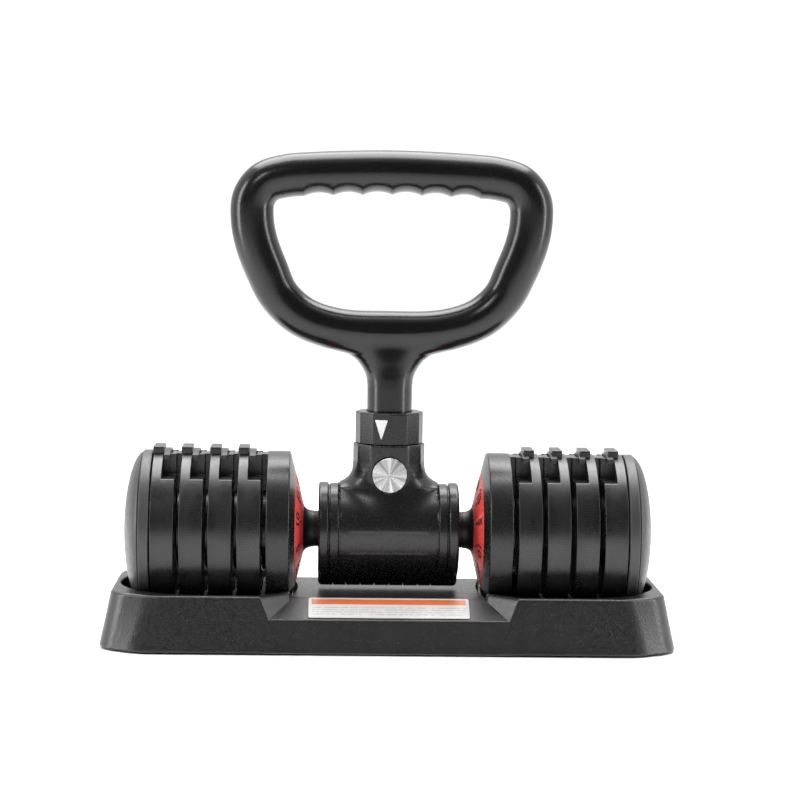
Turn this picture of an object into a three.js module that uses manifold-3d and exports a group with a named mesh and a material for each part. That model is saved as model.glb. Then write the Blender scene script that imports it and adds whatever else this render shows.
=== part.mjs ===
// An adjustable dumbbell in its tray, with a clamp-on kettlebell handle round its grip.
//
// Millimetres. X runs along the dumbbell, -Y is the front, Z is up, the floor is z = 0 and the
// origin is under the middle of the tray. "left" is the -X side.
//
// How it works: turning the grip turns a sleeve with two helical slots. Two half-round rods slide
// in opposite directions, each driven by a cam pin in its slot, and pass through the bores of one
// to four plates on each side. What the rods don't reach stays behind in the tray. The plates
// hang on each other by dovetail rails, open at the top, so a lifted plate slides out upwards.
// At rest the rods are home and every plate is in the tray.

import * as THREE from "three";
import { mergeVertices } from "three/addons/utils/BufferGeometryUtils.js";
import Module from "manifold-3d";

const wasm = await Module();
wasm.setup();

// ------------------------------------------------------------------ driving dimensions

const gap = 0.3; // kept between pieces that touch

// Weight plates: a full disc (the flange) on the outer side, a notched body on the inner side
const plateRadius = 58;
const plateThickness = 17;
const plateSpacing = 4; // air between two plates
const platesPerSide = 4;
const flangeThickness = 7.3;
const notchLevel = 40.8; // ledge of the notch, above the axis
const crownHalfWidth = 13; // block left between the front and the rear notch
const discSides = 32;
const boreSides = 16; // for small bores, pins and sleeves

// Dovetail between neighbours
const railNeckHalf = 9.5;
const railHeadHalf = 11.5;
const railBite = 4.2; // how far a rail reaches into its neighbour
const railFoot = 16; // lower end, above the axis
const dovetailPlay = 0.4;
const bossRadius = 31; // pad round the bore, in the space between two plates
const bossPlay = 0.6;

// Lifting lug on each plate's crown
const lugRise = 4; // above the plate's rim
const lugBarWidth = 8;
const lugTongueWidth = 5;
const lugTongueReach = 19.5; // half length of the tongue, front to back
const lugSkin = 1.4;

// Along the axis, from the middle outwards
const endWall = 2.4; // wall of the handle housing's ends
const hubReach = 3.9; // straight part of the grip hub outside the housing
const hubFlare = 7;
const hubRim = 2.6;
const dialRise = 5.7; // how far the dial's cone comes forward
const dialThickness = 2.5;
const capBevel = 4.2;
const capWidth = 16.8;
const endRingWidth = 7.8;
const domeHeight = 13.5;

// Around the axis
const rodRadius = 7.5;
const rodClearance = 0.3;
const coreWall = 1.8;
const sleeveWall = 3.1;
const gripRadius = 16;
const hubWall = 3.8;
const hubFlareRadius = 18.5;
const dialRadius = 41.2;
const pinRadius = 1.8;
const slotClearance = 0.4;
const sleeveEnd = 4.8; // drive sleeve beyond each end of its slots
const turnPerPlate = (36 * Math.PI) / 180; // one click of the grip

// Tray
const troughFloor = 19.5;
const floorClearance = 4.5; // under the plates
const troughClearance = 4; // in front of and behind the plates
const rimWidth = 6;
const endRimWidth = 4;
const wallFlare = 8; // how much wider the tray is at its foot
const cornerX = 32; // outer corner chamfer, along X and Y
const cornerY = 15;
const innerCornerX = 21.6; // inner corner chamfer of each end block
const innerCornerY = 20.5;
const humpStep = 4; // end blocks stand this much above the middle
const humpDrop = 12.5; // height of the middle's sloping front
const skirtLift = 1; // underside above the floor
const ribWidth = 2.5; // ribs between the underside pockets
const footRadius = 6;
const labelThickness = 0.5;
const labelShare = 0.87; // of the slope's length
const labelHalfWidth = 58.4;
const innerWall = 6.6; // between each trough and the middle
const innerChamfer = [16.5, 16]; // trough corners towards the middle, along X and Y
const pocketRoof = 4; // thickness over the underside pockets
const pocketEndWall = 15; // solid left at the tray's ends
const footInset = 46; // feet from the tray's ends
const footSocket = 5;

// Kettlebell handle housing
const barrelRadius = 33.2;
const outerBeadRise = 2; // above the barrel
const innerBeadRise = 1.1;
const beadWidth = 7.2;
const linerThickness = 3.5;
const knuckleRadius = 6;
const hingePinRadius = 1.6;
const partingHalf = 0.15; // half the gap between the two shells
const neckRadius = 26.9; // to the corners of its twelve sides
const neckTop = 65.3; // above the axis
const collarRadius = 25.2;
const collarHeight = 23.6;
const stemRadius = 16.6;
const buttonRadius = 12.9;
const buttonLevel = 43.7; // above the axis
const buttonFace = 30.5; // in front of the axis
const buttonThickness = 4;
const buttonPocketFloor = 20.5;
const plungerRadius = 3.6;
const plungerTip = 13;
const plungerHole = 0.5; // play round the plunger and the button
const screwDrop = 14.3; // stem screw below the neck's top
const screwRadius = 2.1;
const screwHeadRadius = 4.5;
const screwHeadDepth = 4.4; // seat of the screw's head, in from the neck's corners
const stemPlay = 0.6;
const knuckleShares = [-1, -0.785, -0.596, -0.388, -0.19, 0.024, 0.225, 0.437, 0.625, 1];

// D-handle: centre line of the right half, bottom to top, as [x, z above the axis, radius]
const handlePath = [
  [0, 148.7, 15],
  [39.9, 150.2, 15.2],
  [65.8, 158.7, 15.3],
  [83.3, 174.6, 15.2],
  [92.4, 193, 15.9],
  [100.3, 213.5, 16],
  [103.5, 230.5, 16],
  [102.6, 246, 16],
  [94.2, 257.6, 15.8],
  [78, 262.8, 16],
  [60, 264.3, 16.3],
  [30, 265.6, 16.5],
  [0, 266.2, 16.5],
];
const handleDepthShare = 1.03; // front-to-back half depth over in-plane radius
const fingerPitch = 21.9;
const fingerDepth = 2.5;
const fingerCount = 6;

// ------------------------------------------------------------------ derived places

const coreBore = rodRadius + rodClearance;
const coreRadius = coreBore + coreWall;
const sleeveBore = coreRadius + gap;
const sleeveRadius = sleeveBore + sleeveWall;
const plateBore = rodRadius + 0.5;
const hubRadius = sleeveBore + hubWall;

const platePitch = plateThickness + plateSpacing;
const lugHeight = plateRadius + lugRise;
const rodTravel = platesPerSide * platePitch;
const fullTurn = platesPerSide * turnPerPlate;
const pinPlace = rodTravel / 2; // each cam pin goes from one side of the middle to the other
const slotHalf = pinRadius + slotClearance;
const gripHalf = pinPlace + slotHalf + sleeveEnd;

const cavityHalf = gripHalf + 0.7;
const housingHalf = cavityHalf + endWall;
const hubFlareStart = housingHalf + hubReach;
const hubFlareEnd = hubFlareStart + hubFlare;
const hubEnd = hubFlareEnd + hubRim;
const dialInner = hubFlareEnd + gap;
const dialOuter = dialInner + dialRise;
const capLip = dialOuter + 0.2;
const capShoulder = capLip + capBevel;
const capOuter = capShoulder + capWidth;
const firstPlate = capOuter + plateSpacing;
const packOuter = firstPlate + platesPerSide * platePitch - plateSpacing;
const ringInner = packOuter + 1;
const ringOuter = ringInner + endRingWidth;
const packEnd = ringOuter + domeHeight;

const axisHeight = troughFloor + floorClearance + plateRadius;
const hingeDrop = barrelRadius + 3.3;
const humpTop = axisHeight - hingeDrop - knuckleRadius - 2;
const rimTop = humpTop + humpStep;
const troughHalf = plateRadius + troughClearance;
const trayTopHalf = troughHalf + rimWidth;
const trayFootHalf = trayTopHalf + wallFlare;
const troughEnd = packEnd + 2.5;
const trayTopEnd = troughEnd + endRimWidth;
const trayFootEnd = trayTopEnd + wallFlare;
const blockInner = capShoulder - 1;
const humpHalf = trayTopHalf - innerCornerY;
const slopeFoot = humpTop - humpDrop;
const footY = trayFootHalf - footRadius - 2.5;
const footX = trayFootEnd - footInset;
const pocketHalf = footY - footRadius - gap - 1.2;

// The trough's outer end is half an ellipse, just long enough to clear the end ring at the rim.
const ringChord = Math.sqrt(plateRadius ** 2 - (axisHeight - rimTop) ** 2) + 0.7;
const troughRound =
  (troughEnd - ringOuter) / (1 - Math.sqrt(1 - (ringChord / troughHalf) ** 2));

const outerBeadRadius = barrelRadius + outerBeadRise;
const innerBeadRadius = barrelRadius + innerBeadRise;
const linerRadius = gripRadius + gap + linerThickness;
const housingCavity = linerRadius + 0.2;
const screwLevel = neckTop - screwDrop;
const screwSeat = neckRadius - screwHeadDepth + gap;
const stemFoot = buttonLevel - buttonRadius - 0.8;
const knuckleEdges = knuckleShares.map((share) => share * (housingHalf - 0.1));

// ------------------------------------------------------------------ solids

// A closed three.js geometry as a solid with shared vertices, facing out.
function solid(geometry) {
  const bare = new THREE.BufferGeometry();
  const source = geometry.index ? geometry.toNonIndexed() : geometry;
  bare.setAttribute("position", source.getAttribute("position"));
  const merged = mergeVertices(bare, 1e-4);
  const index = merged.index.array;
  const faces = [];
  for (let i = 0; i < index.length; i += 3) {
    const [a, b, c] = index.subarray(i, i + 3);
    if (a !== b && b !== c && c !== a) faces.push(a, b, c);
  }
  const build = (triVerts) =>
    new wasm.Manifold(
      new wasm.Mesh({
        numProp: 3,
        vertProperties: merged.getAttribute("position").array,
        triVerts: new Uint32Array(triVerts),
      }),
    );
  const made = build(faces);
  return made.volume() > 0 ? made : build(faces.reverse());
}

// A solid's vertices and triangles as a three.js geometry.
function geometryOf(body) {
  const mesh = body.getMesh();
  const count = mesh.numProp;
  const places = [];
  for (let i = 0; i < mesh.vertProperties.length; i += count) {
    places.push(...mesh.vertProperties.subarray(i, i + 3));
  }
  const geometry = new THREE.BufferGeometry();
  geometry.setAttribute("position", new THREE.Float32BufferAttribute(places, 3));
  geometry.setIndex([...mesh.triVerts]);
  geometry.computeVertexNormals();
  return geometry;
}

const joined = (bodies) => bodies.reduce((all, body) => all.add(body));
const without = (body, cuts) => cuts.reduce((rest, cut) => rest.subtract(cut), body);

// Turns a geometry made along +Z, or about +Y, so that it runs along another axis.
const alongX = new THREE.Matrix4().makeBasis(
  new THREE.Vector3(0, 1, 0),
  new THREE.Vector3(0, 0, 1),
  new THREE.Vector3(1, 0, 0),
);
const alongBackwards = new THREE.Matrix4().makeBasis(
  new THREE.Vector3(1, 0, 0),
  new THREE.Vector3(0, 0, 1),
  new THREE.Vector3(0, -1, 0),
);

// A prism along X, Y or Z from one level to another, over an outline in (y, z), (x, z) or (x, y).
function prism(axis, from, to, outline) {
  const shape = new THREE.Shape(outline.map(([u, v]) => new THREE.Vector2(u, v)));
  const depth = to - from;
  const geometry = new THREE.ExtrudeGeometry(shape, { depth, bevelEnabled: false });
  if (axis === "x") geometry.applyMatrix4(alongX).translate(from, 0, 0);
  if (axis === "y") geometry.applyMatrix4(alongBackwards).translate(0, to, 0);
  if (axis === "z") geometry.translate(0, 0, from);
  return solid(geometry);
}

function block(x, y, z) {
  const geometry = new THREE.BoxGeometry(x[1] - x[0], y[1] - y[0], z[1] - z[0]);
  geometry.translate((x[0] + x[1]) / 2, (y[0] + y[1]) / 2, (z[0] + z[1]) / 2);
  return solid(geometry);
}

// A body of revolution about X, Y or Z. The profile's points are [place along axis, radius].
function turned(axis, profile, sides = discSides) {
  const points = profile.map(([along, radius]) => new THREE.Vector2(radius, along));
  const geometry = new THREE.LatheGeometry(points, sides);
  if (axis === "x") geometry.rotateZ(-Math.PI / 2);
  if (axis === "z") geometry.rotateX(Math.PI / 2);
  return solid(geometry);
}

function cylinder(axis, from, to, radius, sides = discSides) {
  return turned(axis, [[from, 0], [from, radius], [to, radius], [to, 0]], sides);
}

function tube(axis, from, to, inner, outer, sides = discSides) {
  const profile = [[from, inner], [from, outer], [to, outer], [to, inner], [from, inner]];
  return turned(axis, profile, sides);
}

// Points of an arc about the origin, in degrees from the first axis towards the second.
function arc(radius, from, to, steps) {
  const points = [];
  for (let i = 0; i <= steps; i += 1) {
    const angle = THREE.MathUtils.degToRad(from + ((to - from) * i) / steps);
    points.push([radius * Math.cos(angle), radius * Math.sin(angle)]);
  }
  return points;
}

// A skin through rings of points: closed by flat ends, or by joining the last ring to the first.
function loft(rings, endless = false) {
  const count = rings[0].length;
  const places = [];
  const face = (...corners) => corners.forEach((corner) => places.push(...corner));
  const last = endless ? rings.length : rings.length - 1;
  for (let i = 0; i < last; i += 1) {
    const low = rings[i];
    const high = rings[(i + 1) % rings.length];
    for (let j = 0; j < count; j += 1) {
      const k = (j + 1) % count;
      face(low[j], low[k], high[k]);
      face(low[j], high[k], high[j]);
    }
  }
  if (!endless) {
    const top = rings[rings.length - 1];
    for (let j = 1; j < count - 1; j += 1) {
      face(rings[0][0], rings[0][j + 1], rings[0][j]);
      face(top[0], top[j], top[j + 1]);
    }
  }
  const geometry = new THREE.BufferGeometry();
  geometry.setAttribute("position", new THREE.Float32BufferAttribute(places, 3));
  return solid(geometry);
}

// A horizontal ring of points: corners start at the front and go round by equal angles.
function ring(z, halfWidth, halfDepth, corners) {
  return Array.from({ length: corners }, (_, i) => {
    const angle = (2 * Math.PI * i) / corners;
    return [halfWidth * Math.sin(angle), -halfDepth * Math.cos(angle), z];
  });
}

// ------------------------------------------------------------------ materials

// Copies of a solid, moved or turned about Z.
function moved(body, place) {
  return solid(geometryOf(body).translate(...place));
}

function turnedAbout(body, angle) {
  return solid(geometryOf(body).rotateZ(angle));
}

function turnedAtAxis(body) {
  return moved(body, [0, 0, axisHeight]);
}

const material = (color, roughness, metalness = 0) =>
  new THREE.MeshStandardMaterial({ color, roughness, metalness });

const finish = {
  tray: () => material(0x1b1b1d, 0.62),
  cradle: () => material(0x161617, 0.7),
  foot: () => material(0x0e0e0e, 0.9),
  label: () => material(0xe9e7e2, 0.5),
  plate: () => material(0x2b2c2f, 0.42, 0.2),
  lug: () => material(0x3a3b3d, 0.4),
  cover: () => material(0x26272a, 0.35),
  dial: () => material(0xd23a34, 0.4),
  hub: () => material(0x121213, 0.5),
  steel: () => material(0x9a9c9f, 0.35, 1),
  rubber: () => material(0x151515, 0.85),
  shell: () => material(0x17181a, 0.38),
  handle: () => material(0x1a1b1d, 0.45),
  arrow: () => material(0xf2f2f2, 0.5),
  button: () => material(0xc9cacc, 0.28, 1),
};

function piece(parent, name, body, look, place = [0, 0, 0]) {
  const mesh = new THREE.Mesh(geometryOf(body), look());
  mesh.name = name;
  mesh.position.set(...place);
  parent.add(mesh);
  return mesh;
}

function group(parent, place = [0, 0, 0], turn = 0) {
  const made = new THREE.Group();
  made.position.set(...place);
  made.rotation.z = turn;
  parent.add(made);
  return made;
}

// ------------------------------------------------------------------ tray

// The four corners of one end block's plan on the front side, mirrored to the rear.
function blockPlan(z, corners) {
  const front = corners.map(([x, y]) => [x, -y, z]);
  const rear = corners.map(([x, y]) => [x, y, z]).reverse();
  return [...front, ...rear];
}

function endBlock() {
  const foot = blockPlan(skirtLift, [
    [blockInner - 6.4, trayFootHalf - 11],
    [blockInner + 5.2, trayFootHalf],
    [trayFootEnd - cornerX + 3, trayFootHalf],
    [trayFootEnd, trayFootHalf - cornerY - 3],
  ]);
  const top = blockPlan(rimTop, [
    [blockInner, humpHalf],
    [blockInner + innerCornerX, trayTopHalf],
    [trayTopEnd - cornerX, trayTopHalf],
    [trayTopEnd, trayTopHalf - cornerY],
  ]);
  return loft([foot, top]);
}

// Plan of the trough: chamfered towards the middle, half an ellipse at the outer end.
function troughCut() {
  const inner = blockInner + innerWall;
  const bend = troughEnd - troughRound;
  const outer = arc(1, -90, 90, 16).map(([u, v]) => [bend + troughRound * u, troughHalf * v]);
  const [chamferX, chamferY] = innerChamfer;
  const outline = [
    [inner, troughHalf - chamferY],
    [inner, chamferY - troughHalf],
    [inner + chamferX, -troughHalf],
    ...outer,
    [inner + chamferX, troughHalf],
  ];
  return prism("z", troughFloor, rimTop + 1, outline);
}

// Room for the end cap of the dumbbell's core, which hangs over the trough's inner wall.
function capRoom() {
  const wide = plateRadius + 2.5;
  const profile = [
    [capLip - 2.7, 0],
    [capLip - 2.7, dialRadius + 1.8],
    [capShoulder - 2.4, wide],
    [capOuter + 1.8, wide],
    [capOuter + 1.8, 0],
  ];
  return turned("x", profile);
}

// Rows of square pockets in the underside, between ribs.
function pockets(x, y, columns, rows, top) {
  const cuts = [];
  const stepX = (x[1] - x[0]) / columns;
  const stepY = (y[1] - y[0]) / rows;
  for (let i = 0; i < columns; i += 1) {
    for (let j = 0; j < rows; j += 1) {
      const left = x[0] + i * stepX;
      const front = y[0] + j * stepY;
      const across = [left + ribWidth / 2, left + stepX - ribWidth / 2];
      const deep = [front + ribWidth / 2, front + stepY - ribWidth / 2];
      cuts.push(block(across, deep, [-1, top]));
    }
  }
  return cuts;
}

const feetPlaces = [
  [-footX, -footY],
  [footX, -footY],
  [-footX, footY],
  [footX, footY],
];

function trayBody() {
  const underTrough = [blockInner + innerWall + 5, trayFootEnd - pocketEndWall];
  const half = without(endBlock(), [
    troughCut(),
    turnedAtAxis(capRoom()),
    ...pockets(underTrough, [-pocketHalf, pocketHalf], 4, 3, troughFloor - pocketRoof),
  ]);
  const otherHalf = turnedAbout(half, Math.PI);
  const wall = (z) => trayFootHalf - 0.05 - (wallFlare * z) / rimTop;
  const profile = [
    [-wall(0), skirtLift],
    [-wall(slopeFoot), slopeFoot],
    [-humpHalf, humpTop],
    [humpHalf, humpTop],
    [wall(slopeFoot), slopeFoot],
    [wall(0), skirtLift],
  ];
  const humpEnd = blockInner + innerCornerX - 4;
  const underHump = [10.4 - blockInner, blockInner - 10.4];
  const hump = without(prism("x", -humpEnd, humpEnd, profile), [
    turnedAtAxis(capRoom()),
    turnedAbout(turnedAtAxis(capRoom()), Math.PI),
    troughCut(),
    turnedAbout(troughCut(), Math.PI),
    ...pockets(underHump, [-humpHalf + 3, humpHalf - 3], 4, 3, humpTop - pocketRoof),
    ...pockets(underHump, [-humpHalf - 22, -humpHalf - 1], 4, 1, slopeFoot - pocketRoof),
    ...pockets(underHump, [humpHalf + 1, humpHalf + 22], 4, 1, slopeFoot - pocketRoof),
  ]);
  const sockets = feetPlaces.map(([x, y]) =>
    moved(cylinder("z", -1, footSocket, footRadius + gap, 12), [x, y, 0]),
  );
  return without(joined([half, otherHalf, hump]), sockets);
}

// Saddle under the four plates, with a thin divider standing in each space between them.
function cradleBody() {
  const saddleHalf = 0.6 * plateRadius;
  const low = troughFloor + gap;
  const clearRadius = plateRadius + 0.4;
  const saddleTop = axisHeight - Math.sqrt(clearRadius ** 2 - saddleHalf ** 2);
  const saddle = without(
    block([firstPlate - 1, ringInner + 0.8], [-saddleHalf, saddleHalf], [low, saddleTop]),
    [turnedAtAxis(cylinder("x", firstPlate - 3, ringOuter, clearRadius))],
  );
  const dividers = [];
  const dividerHalf = 0.73 * plateRadius;
  for (let i = 0; i < platesPerSide; i += 1) {
    const middle = firstPlate - plateSpacing / 2 + i * platePitch;
    const halfThickness = plateSpacing / 2 - 0.7;
    const across = [middle - halfThickness, middle + halfThickness];
    const upright = block(across, [-dividerHalf, dividerHalf], [low, rimTop - 3.5]);
    const throat = cylinder("x", middle - 3, middle + 3, 0.845 * plateRadius);
    dividers.push(without(upright, [turnedAtAxis(throat)]));
  }
  return joined([saddle, ...dividers]);
}

// Label on the sloping front, made flat at the origin and laid on the slope by its mesh.
function addLabel(parent) {
  const run = trayFootHalf - 0.05 - (wallFlare * slopeFoot) / rimTop - humpHalf;
  const slopeLength = Math.hypot(run, humpDrop);
  const width = slopeLength * labelShare;
  const sheet = block(
    [-labelHalfWidth, labelHalfWidth],
    [-width, 0],
    [gap, gap + labelThickness],
  );
  const label = piece(parent, "label", sheet, finish.label);
  const start = 0.03 * slopeLength;
  const tilt = Math.atan2(humpDrop, run);
  label.rotation.x = tilt;
  label.position.set(0, -humpHalf - start * Math.cos(tilt), humpTop - start * Math.sin(tilt));
}

function buildTray(parent) {
  const tray = group(parent);
  piece(tray, "base_tray", trayBody(), finish.tray);
  piece(tray, "cradle_right", cradleBody(), finish.cradle);
  const left = group(tray, [0, 0, 0], Math.PI);
  piece(left, "cradle_left", cradleBody(), finish.cradle);
  feetPlaces.forEach(([x, y], i) => {
    const foot = cylinder("z", 0, footSocket - gap, footRadius, 12);
    piece(tray, `foot_${i + 1}`, foot, finish.foot, [x, y, 0]);
  });
  addLabel(tray);
}

// ------------------------------------------------------------------ plates

// Dovetail outline in (x, y): x is the reach from the face it stands on.
function dovetail(neckEnd, headEnd, neckHalf, headHalf) {
  return [
    [-0.5, -neckHalf],
    [neckEnd, -neckHalf],
    [headEnd, -headHalf],
    [headEnd, headHalf],
    [neckEnd, neckHalf],
    [-0.5, neckHalf],
  ];
}

function rail() {
  const reach = plateSpacing + railBite;
  const top = Math.sqrt(plateRadius ** 2 - railHeadHalf ** 2) - 0.3;
  const outline = dovetail(plateSpacing, reach, railNeckHalf, railHeadHalf);
  return prism("z", railFoot, top, outline);
}

// Rail and round pad on the face at x = 0, with the bore for the rods.
function railAndBoss() {
  const boss = cylinder("x", -0.5, plateSpacing - bossPlay, bossRadius, 24);
  const bore = cylinder("x", -1, plateSpacing + railBite + 1, plateBore, boreSides);
  return without(rail().add(boss), [bore]);
}

function railGroove() {
  const neck = railNeckHalf + dovetailPlay;
  const head = railHeadHalf + dovetailPlay;
  return prism("z", railFoot - 1, plateRadius + 5, dovetail(0, railBite + dovetailPlay, neck, head));
}

// A plate stands on x = 0 with its notched side and reaches to x = plateThickness.
function plateBody(hasRail) {
  const shoulder = plateThickness - flangeThickness;
  const disc = cylinder("x", 0, plateThickness, plateRadius);
  const notch = (side) => {
    const near = side * crownHalfWidth;
    const far = side * (plateRadius + 5);
    const y = [Math.min(near, far), Math.max(near, far)];
    return block([-1, shoulder], y, [notchLevel, plateRadius + 5]);
  };
  const cuts = [
    notch(-1),
    notch(1),
    railGroove(),
    cylinder("x", -1, plateThickness + 1, plateBore, boreSides),
  ];
  const cut = without(disc, cuts);
  return hasRail ? cut.add(moved(railAndBoss(), [plateThickness, 0, 0])) : cut;
}

// Outline over the crown, from a radius just clear of the disc to a skin above it.
function crownStrip(half, lip) {
  const clear = plateRadius + gap;
  const outer = clear + lugSkin;
  const angle = (radius) => THREE.MathUtils.radToDeg(Math.acos(half / radius));
  const over = arc(outer, angle(outer), 180 - angle(outer), 4);
  if (!lip) return [...over, ...arc(clear, 180 - angle(clear), angle(clear), 4)];
  const inside = crownHalfWidth + gap;
  const start = THREE.MathUtils.radToDeg(Math.acos(inside / clear));
  const lipLevel = Math.sqrt(clear ** 2 - half ** 2) - 2.2;
  return [
    ...over,
    [-half, lipLevel],
    [-inside, lipLevel],
    ...arc(clear, 180 - start, start, 4),
    [inside, lipLevel],
    [half, lipLevel],
  ];
}

// A lug sits on the crown: a bar across its top, and a tongue that hangs over its two faces.
function lugBody(barMiddle) {
  const shoulder = plateThickness - flangeThickness;
  const tongue = [shoulder - lugTongueWidth, shoulder - gap];
  const bar = [barMiddle - lugBarWidth / 2, barMiddle + lugBarWidth / 2];
  const skirt = [Math.min(tongue[0], bar[0]), Math.max(tongue[1], bar[1])];
  const barOutline = [
    ...arc(plateRadius + gap, 180 - 77, 77, 4),
    [crownHalfWidth, lugHeight - 1.6],
    [crownHalfWidth - 1.6, lugHeight],
    [1.6 - crownHalfWidth, lugHeight],
    [-crownHalfWidth, lugHeight - 1.6],
  ];
  return joined([
    prism("x", tongue[0], tongue[1], crownStrip(lugTongueReach, true)),
    prism("x", skirt[0], skirt[1], crownStrip(crownHalfWidth - 0.2, false)),
    prism("x", bar[0], bar[1], barOutline),
  ]);
}

function endRingBody() {
  return cylinder("x", ringInner, ringOuter - gap, plateRadius);
}

function endCoverBody() {
  const rise = arc(1, 90, 0, 5).map(([u, v]) => [
    ringOuter + domeHeight * Math.sqrt(1 - v * v) ** 1.1,
    (plateRadius - 1.6) * v,
  ]);
  rise[0][0] = ringOuter + 0.8;
  return turned("x", [[ringOuter, 0], [ringOuter, plateRadius - 2], ...rise]);
}

// ------------------------------------------------------------------ core, rods and grip

// The cap that ends the core on each side, with the rail that carries the first plate.
function innerCapBody() {
  const seat = dialThickness + gap; // step that the dial lies in
  const slant = dialRise / (dialRadius - hubFlareRadius);
  const dialBack = (radius) => dialOuter + seat - slant * (dialRadius - radius);
  const hubClear = hubFlareRadius + 4;
  const profile = [
    [dialBack(hubClear), sleeveBore],
    [dialBack(hubClear), hubClear],
    [dialBack(dialRadius + 0.4), dialRadius + 0.4],
    [capLip, dialRadius + 0.8],
    [capShoulder, plateRadius],
    [capOuter, plateRadius],
    [capOuter, sleeveBore],
    [dialBack(hubClear), sleeveBore],
  ];
  return turned("x", profile).add(moved(railAndBoss(), [capOuter, 0, 0]));
}

function dialBody() {
  const inside = hubFlareRadius + gap;
  return turned("x", [
    [dialInner, inside],
    [dialInner + dialThickness, inside],
    [dialOuter + dialThickness, dialRadius],
    [dialOuter, dialRadius],
    [dialInner, inside],
  ]);
}

function hubBody() {
  return turned(
    "x",
    [
      [gripHalf + gap, sleeveBore],
      [gripHalf + gap, hubRadius],
      [hubFlareStart, hubRadius],
      [hubFlareEnd, hubFlareRadius],
      [hubEnd, hubFlareRadius],
      [hubEnd, sleeveBore],
      [gripHalf + gap, sleeveBore],
    ],
    20,
  );
}

// Straight slots let both cam pins through the core tube.
function coreTubeBody() {
  const reach = pinPlace + slotHalf;
  const length = capOuter - 2.2;
  return without(tube("x", -length, length, coreBore, coreRadius, boreSides), [
    block([-reach, reach], [-coreRadius - 2, coreRadius + 2], [-slotHalf, slotHalf]),
  ]);
}

// One helical slot through the sleeve wall; it leads the pin from one side to the other. The
// angle is the slot's place round X at its left end, and the hand is 1 or -1.
function helicalSlot(startAngle, hand) {
  const steps = 10;
  const reach = pinPlace + slotHalf;
  const rings = [];
  for (let i = 0; i <= steps; i += 1) {
    const x = -reach + (2 * reach * i) / steps;
    const angle = startAngle + (hand * fullTurn * (x + pinPlace)) / rodTravel;
    const along = new THREE.Vector3(0, Math.cos(angle), Math.sin(angle));
    const across = new THREE.Vector3(0, -Math.sin(angle), Math.cos(angle));
    const corner = (radius, side) => {
      const place = along.clone().multiplyScalar(radius);
      place.addScaledVector(across, side * slotHalf * 1.1);
      return [x, place.y, place.z];
    };
    const low = sleeveBore - 1.5;
    const high = sleeveRadius + 1.5;
    rings.push([corner(low, -1), corner(high, -1), corner(high, 1), corner(low, 1)]);
  }
  return loft(rings);
}

function driveSleeveBody() {
  return without(tube("x", -gripHalf, gripHalf, sleeveBore, sleeveRadius, 20), [
    helicalSlot(0, -1),
    helicalSlot(Math.PI - fullTurn, 1),
  ]);
}

// The rod that reaches out to the right is the rear half of a round bar, with its pin at the
// rear; the left one is the same rod turned half round about Z.
function rodBody() {
  const flat = 0.2;
  const outline = [
    [flat, -Math.sqrt(rodRadius ** 2 - flat ** 2)],
    ...arc(rodRadius, -80, 80, 10),
    [flat, Math.sqrt(rodRadius ** 2 - flat ** 2)],
  ];
  const bar = prism("x", -pinPlace - 28, capOuter - 0.6, outline);
  const pin = cylinder("y", 5, sleeveRadius - gap, pinRadius, 12);
  return bar.add(moved(pin, [-pinPlace, 0, 0]));
}

function buildDumbbell(parent) {
  const bell = group(parent, [0, 0, axisHeight]);
  piece(bell, "core_tube", coreTubeBody(), finish.steel);
  piece(bell, "drive_sleeve", driveSleeveBody(), finish.hub);
  const gripTube = tube("x", -gripHalf, gripHalf, sleeveRadius + gap, gripRadius, 20);
  piece(bell, "grip_sleeve", gripTube, finish.rubber);
  for (const side of ["left", "right"]) {
    const pack = group(bell, [0, 0, 0], side === "left" ? Math.PI : 0);
    piece(pack, `rod_${side}`, rodBody(), finish.steel);
    piece(pack, `grip_hub_${side}`, hubBody(), finish.hub);
    piece(pack, `dial_ring_${side}`, dialBody(), finish.dial);
    const washer = tube("x", hubEnd + gap, hubEnd + 1, sleeveBore + 0.4, hubFlareRadius - 1.5, 20);
    piece(pack, `wave_washer_${side}`, washer, finish.steel);
    piece(pack, `inner_cap_${side}`, innerCapBody(), finish.cover);
    const shoulder = plateThickness - flangeThickness;
    const barMiddle = side === "left" ? shoulder + 4 : shoulder;
    for (let i = 0; i < platesPerSide; i += 1) {
      const place = [firstPlate + i * platePitch, 0, 0];
      const hasRail = i < platesPerSide - 1;
      piece(pack, `plate_${side}_${i + 1}`, plateBody(hasRail), finish.plate, place);
      piece(pack, `lug_${side}_${i + 1}`, lugBody(barMiddle), finish.lug, place);
    }
    piece(pack, `end_ring_${side}`, endRingBody(), finish.cover);
    piece(pack, `end_cover_${side}`, endCoverBody(), finish.cover);
  }
}

// ------------------------------------------------------------------ kettlebell handle

function barrel() {
  const end = housingHalf;
  const half = [
    [end, 0],
    [end, outerBeadRadius - 1.8],
    [end - 1.8, outerBeadRadius],
    [end - beadWidth, outerBeadRadius],
    [end - beadWidth, innerBeadRadius],
    [end - 2 * beadWidth - 1, innerBeadRadius],
    [end - 2 * beadWidth - 1.6, barrelRadius],
  ];
  const other = half.map(([x, radius]) => [-x, radius]).reverse();
  return turned("x", [...half, ...other]);
}

// Web below the barrel: flat sides that run tangent to the barrel and to the hinge's knuckles.
function hingeWeb() {
  const lean = Math.acos((barrelRadius - knuckleRadius) / hingeDrop);
  const [wide, narrow] = [barrelRadius, knuckleRadius].map((radius) => radius * Math.sin(lean));
  const high = -barrelRadius * Math.cos(lean);
  const low = -hingeDrop - knuckleRadius * Math.cos(lean);
  const outline = [
    [-wide, high],
    [-narrow, low],
    [narrow, low],
    [wide, high],
  ];
  return prism("x", 0.1 - housingHalf, housingHalf - 0.1, outline);
}

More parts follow.
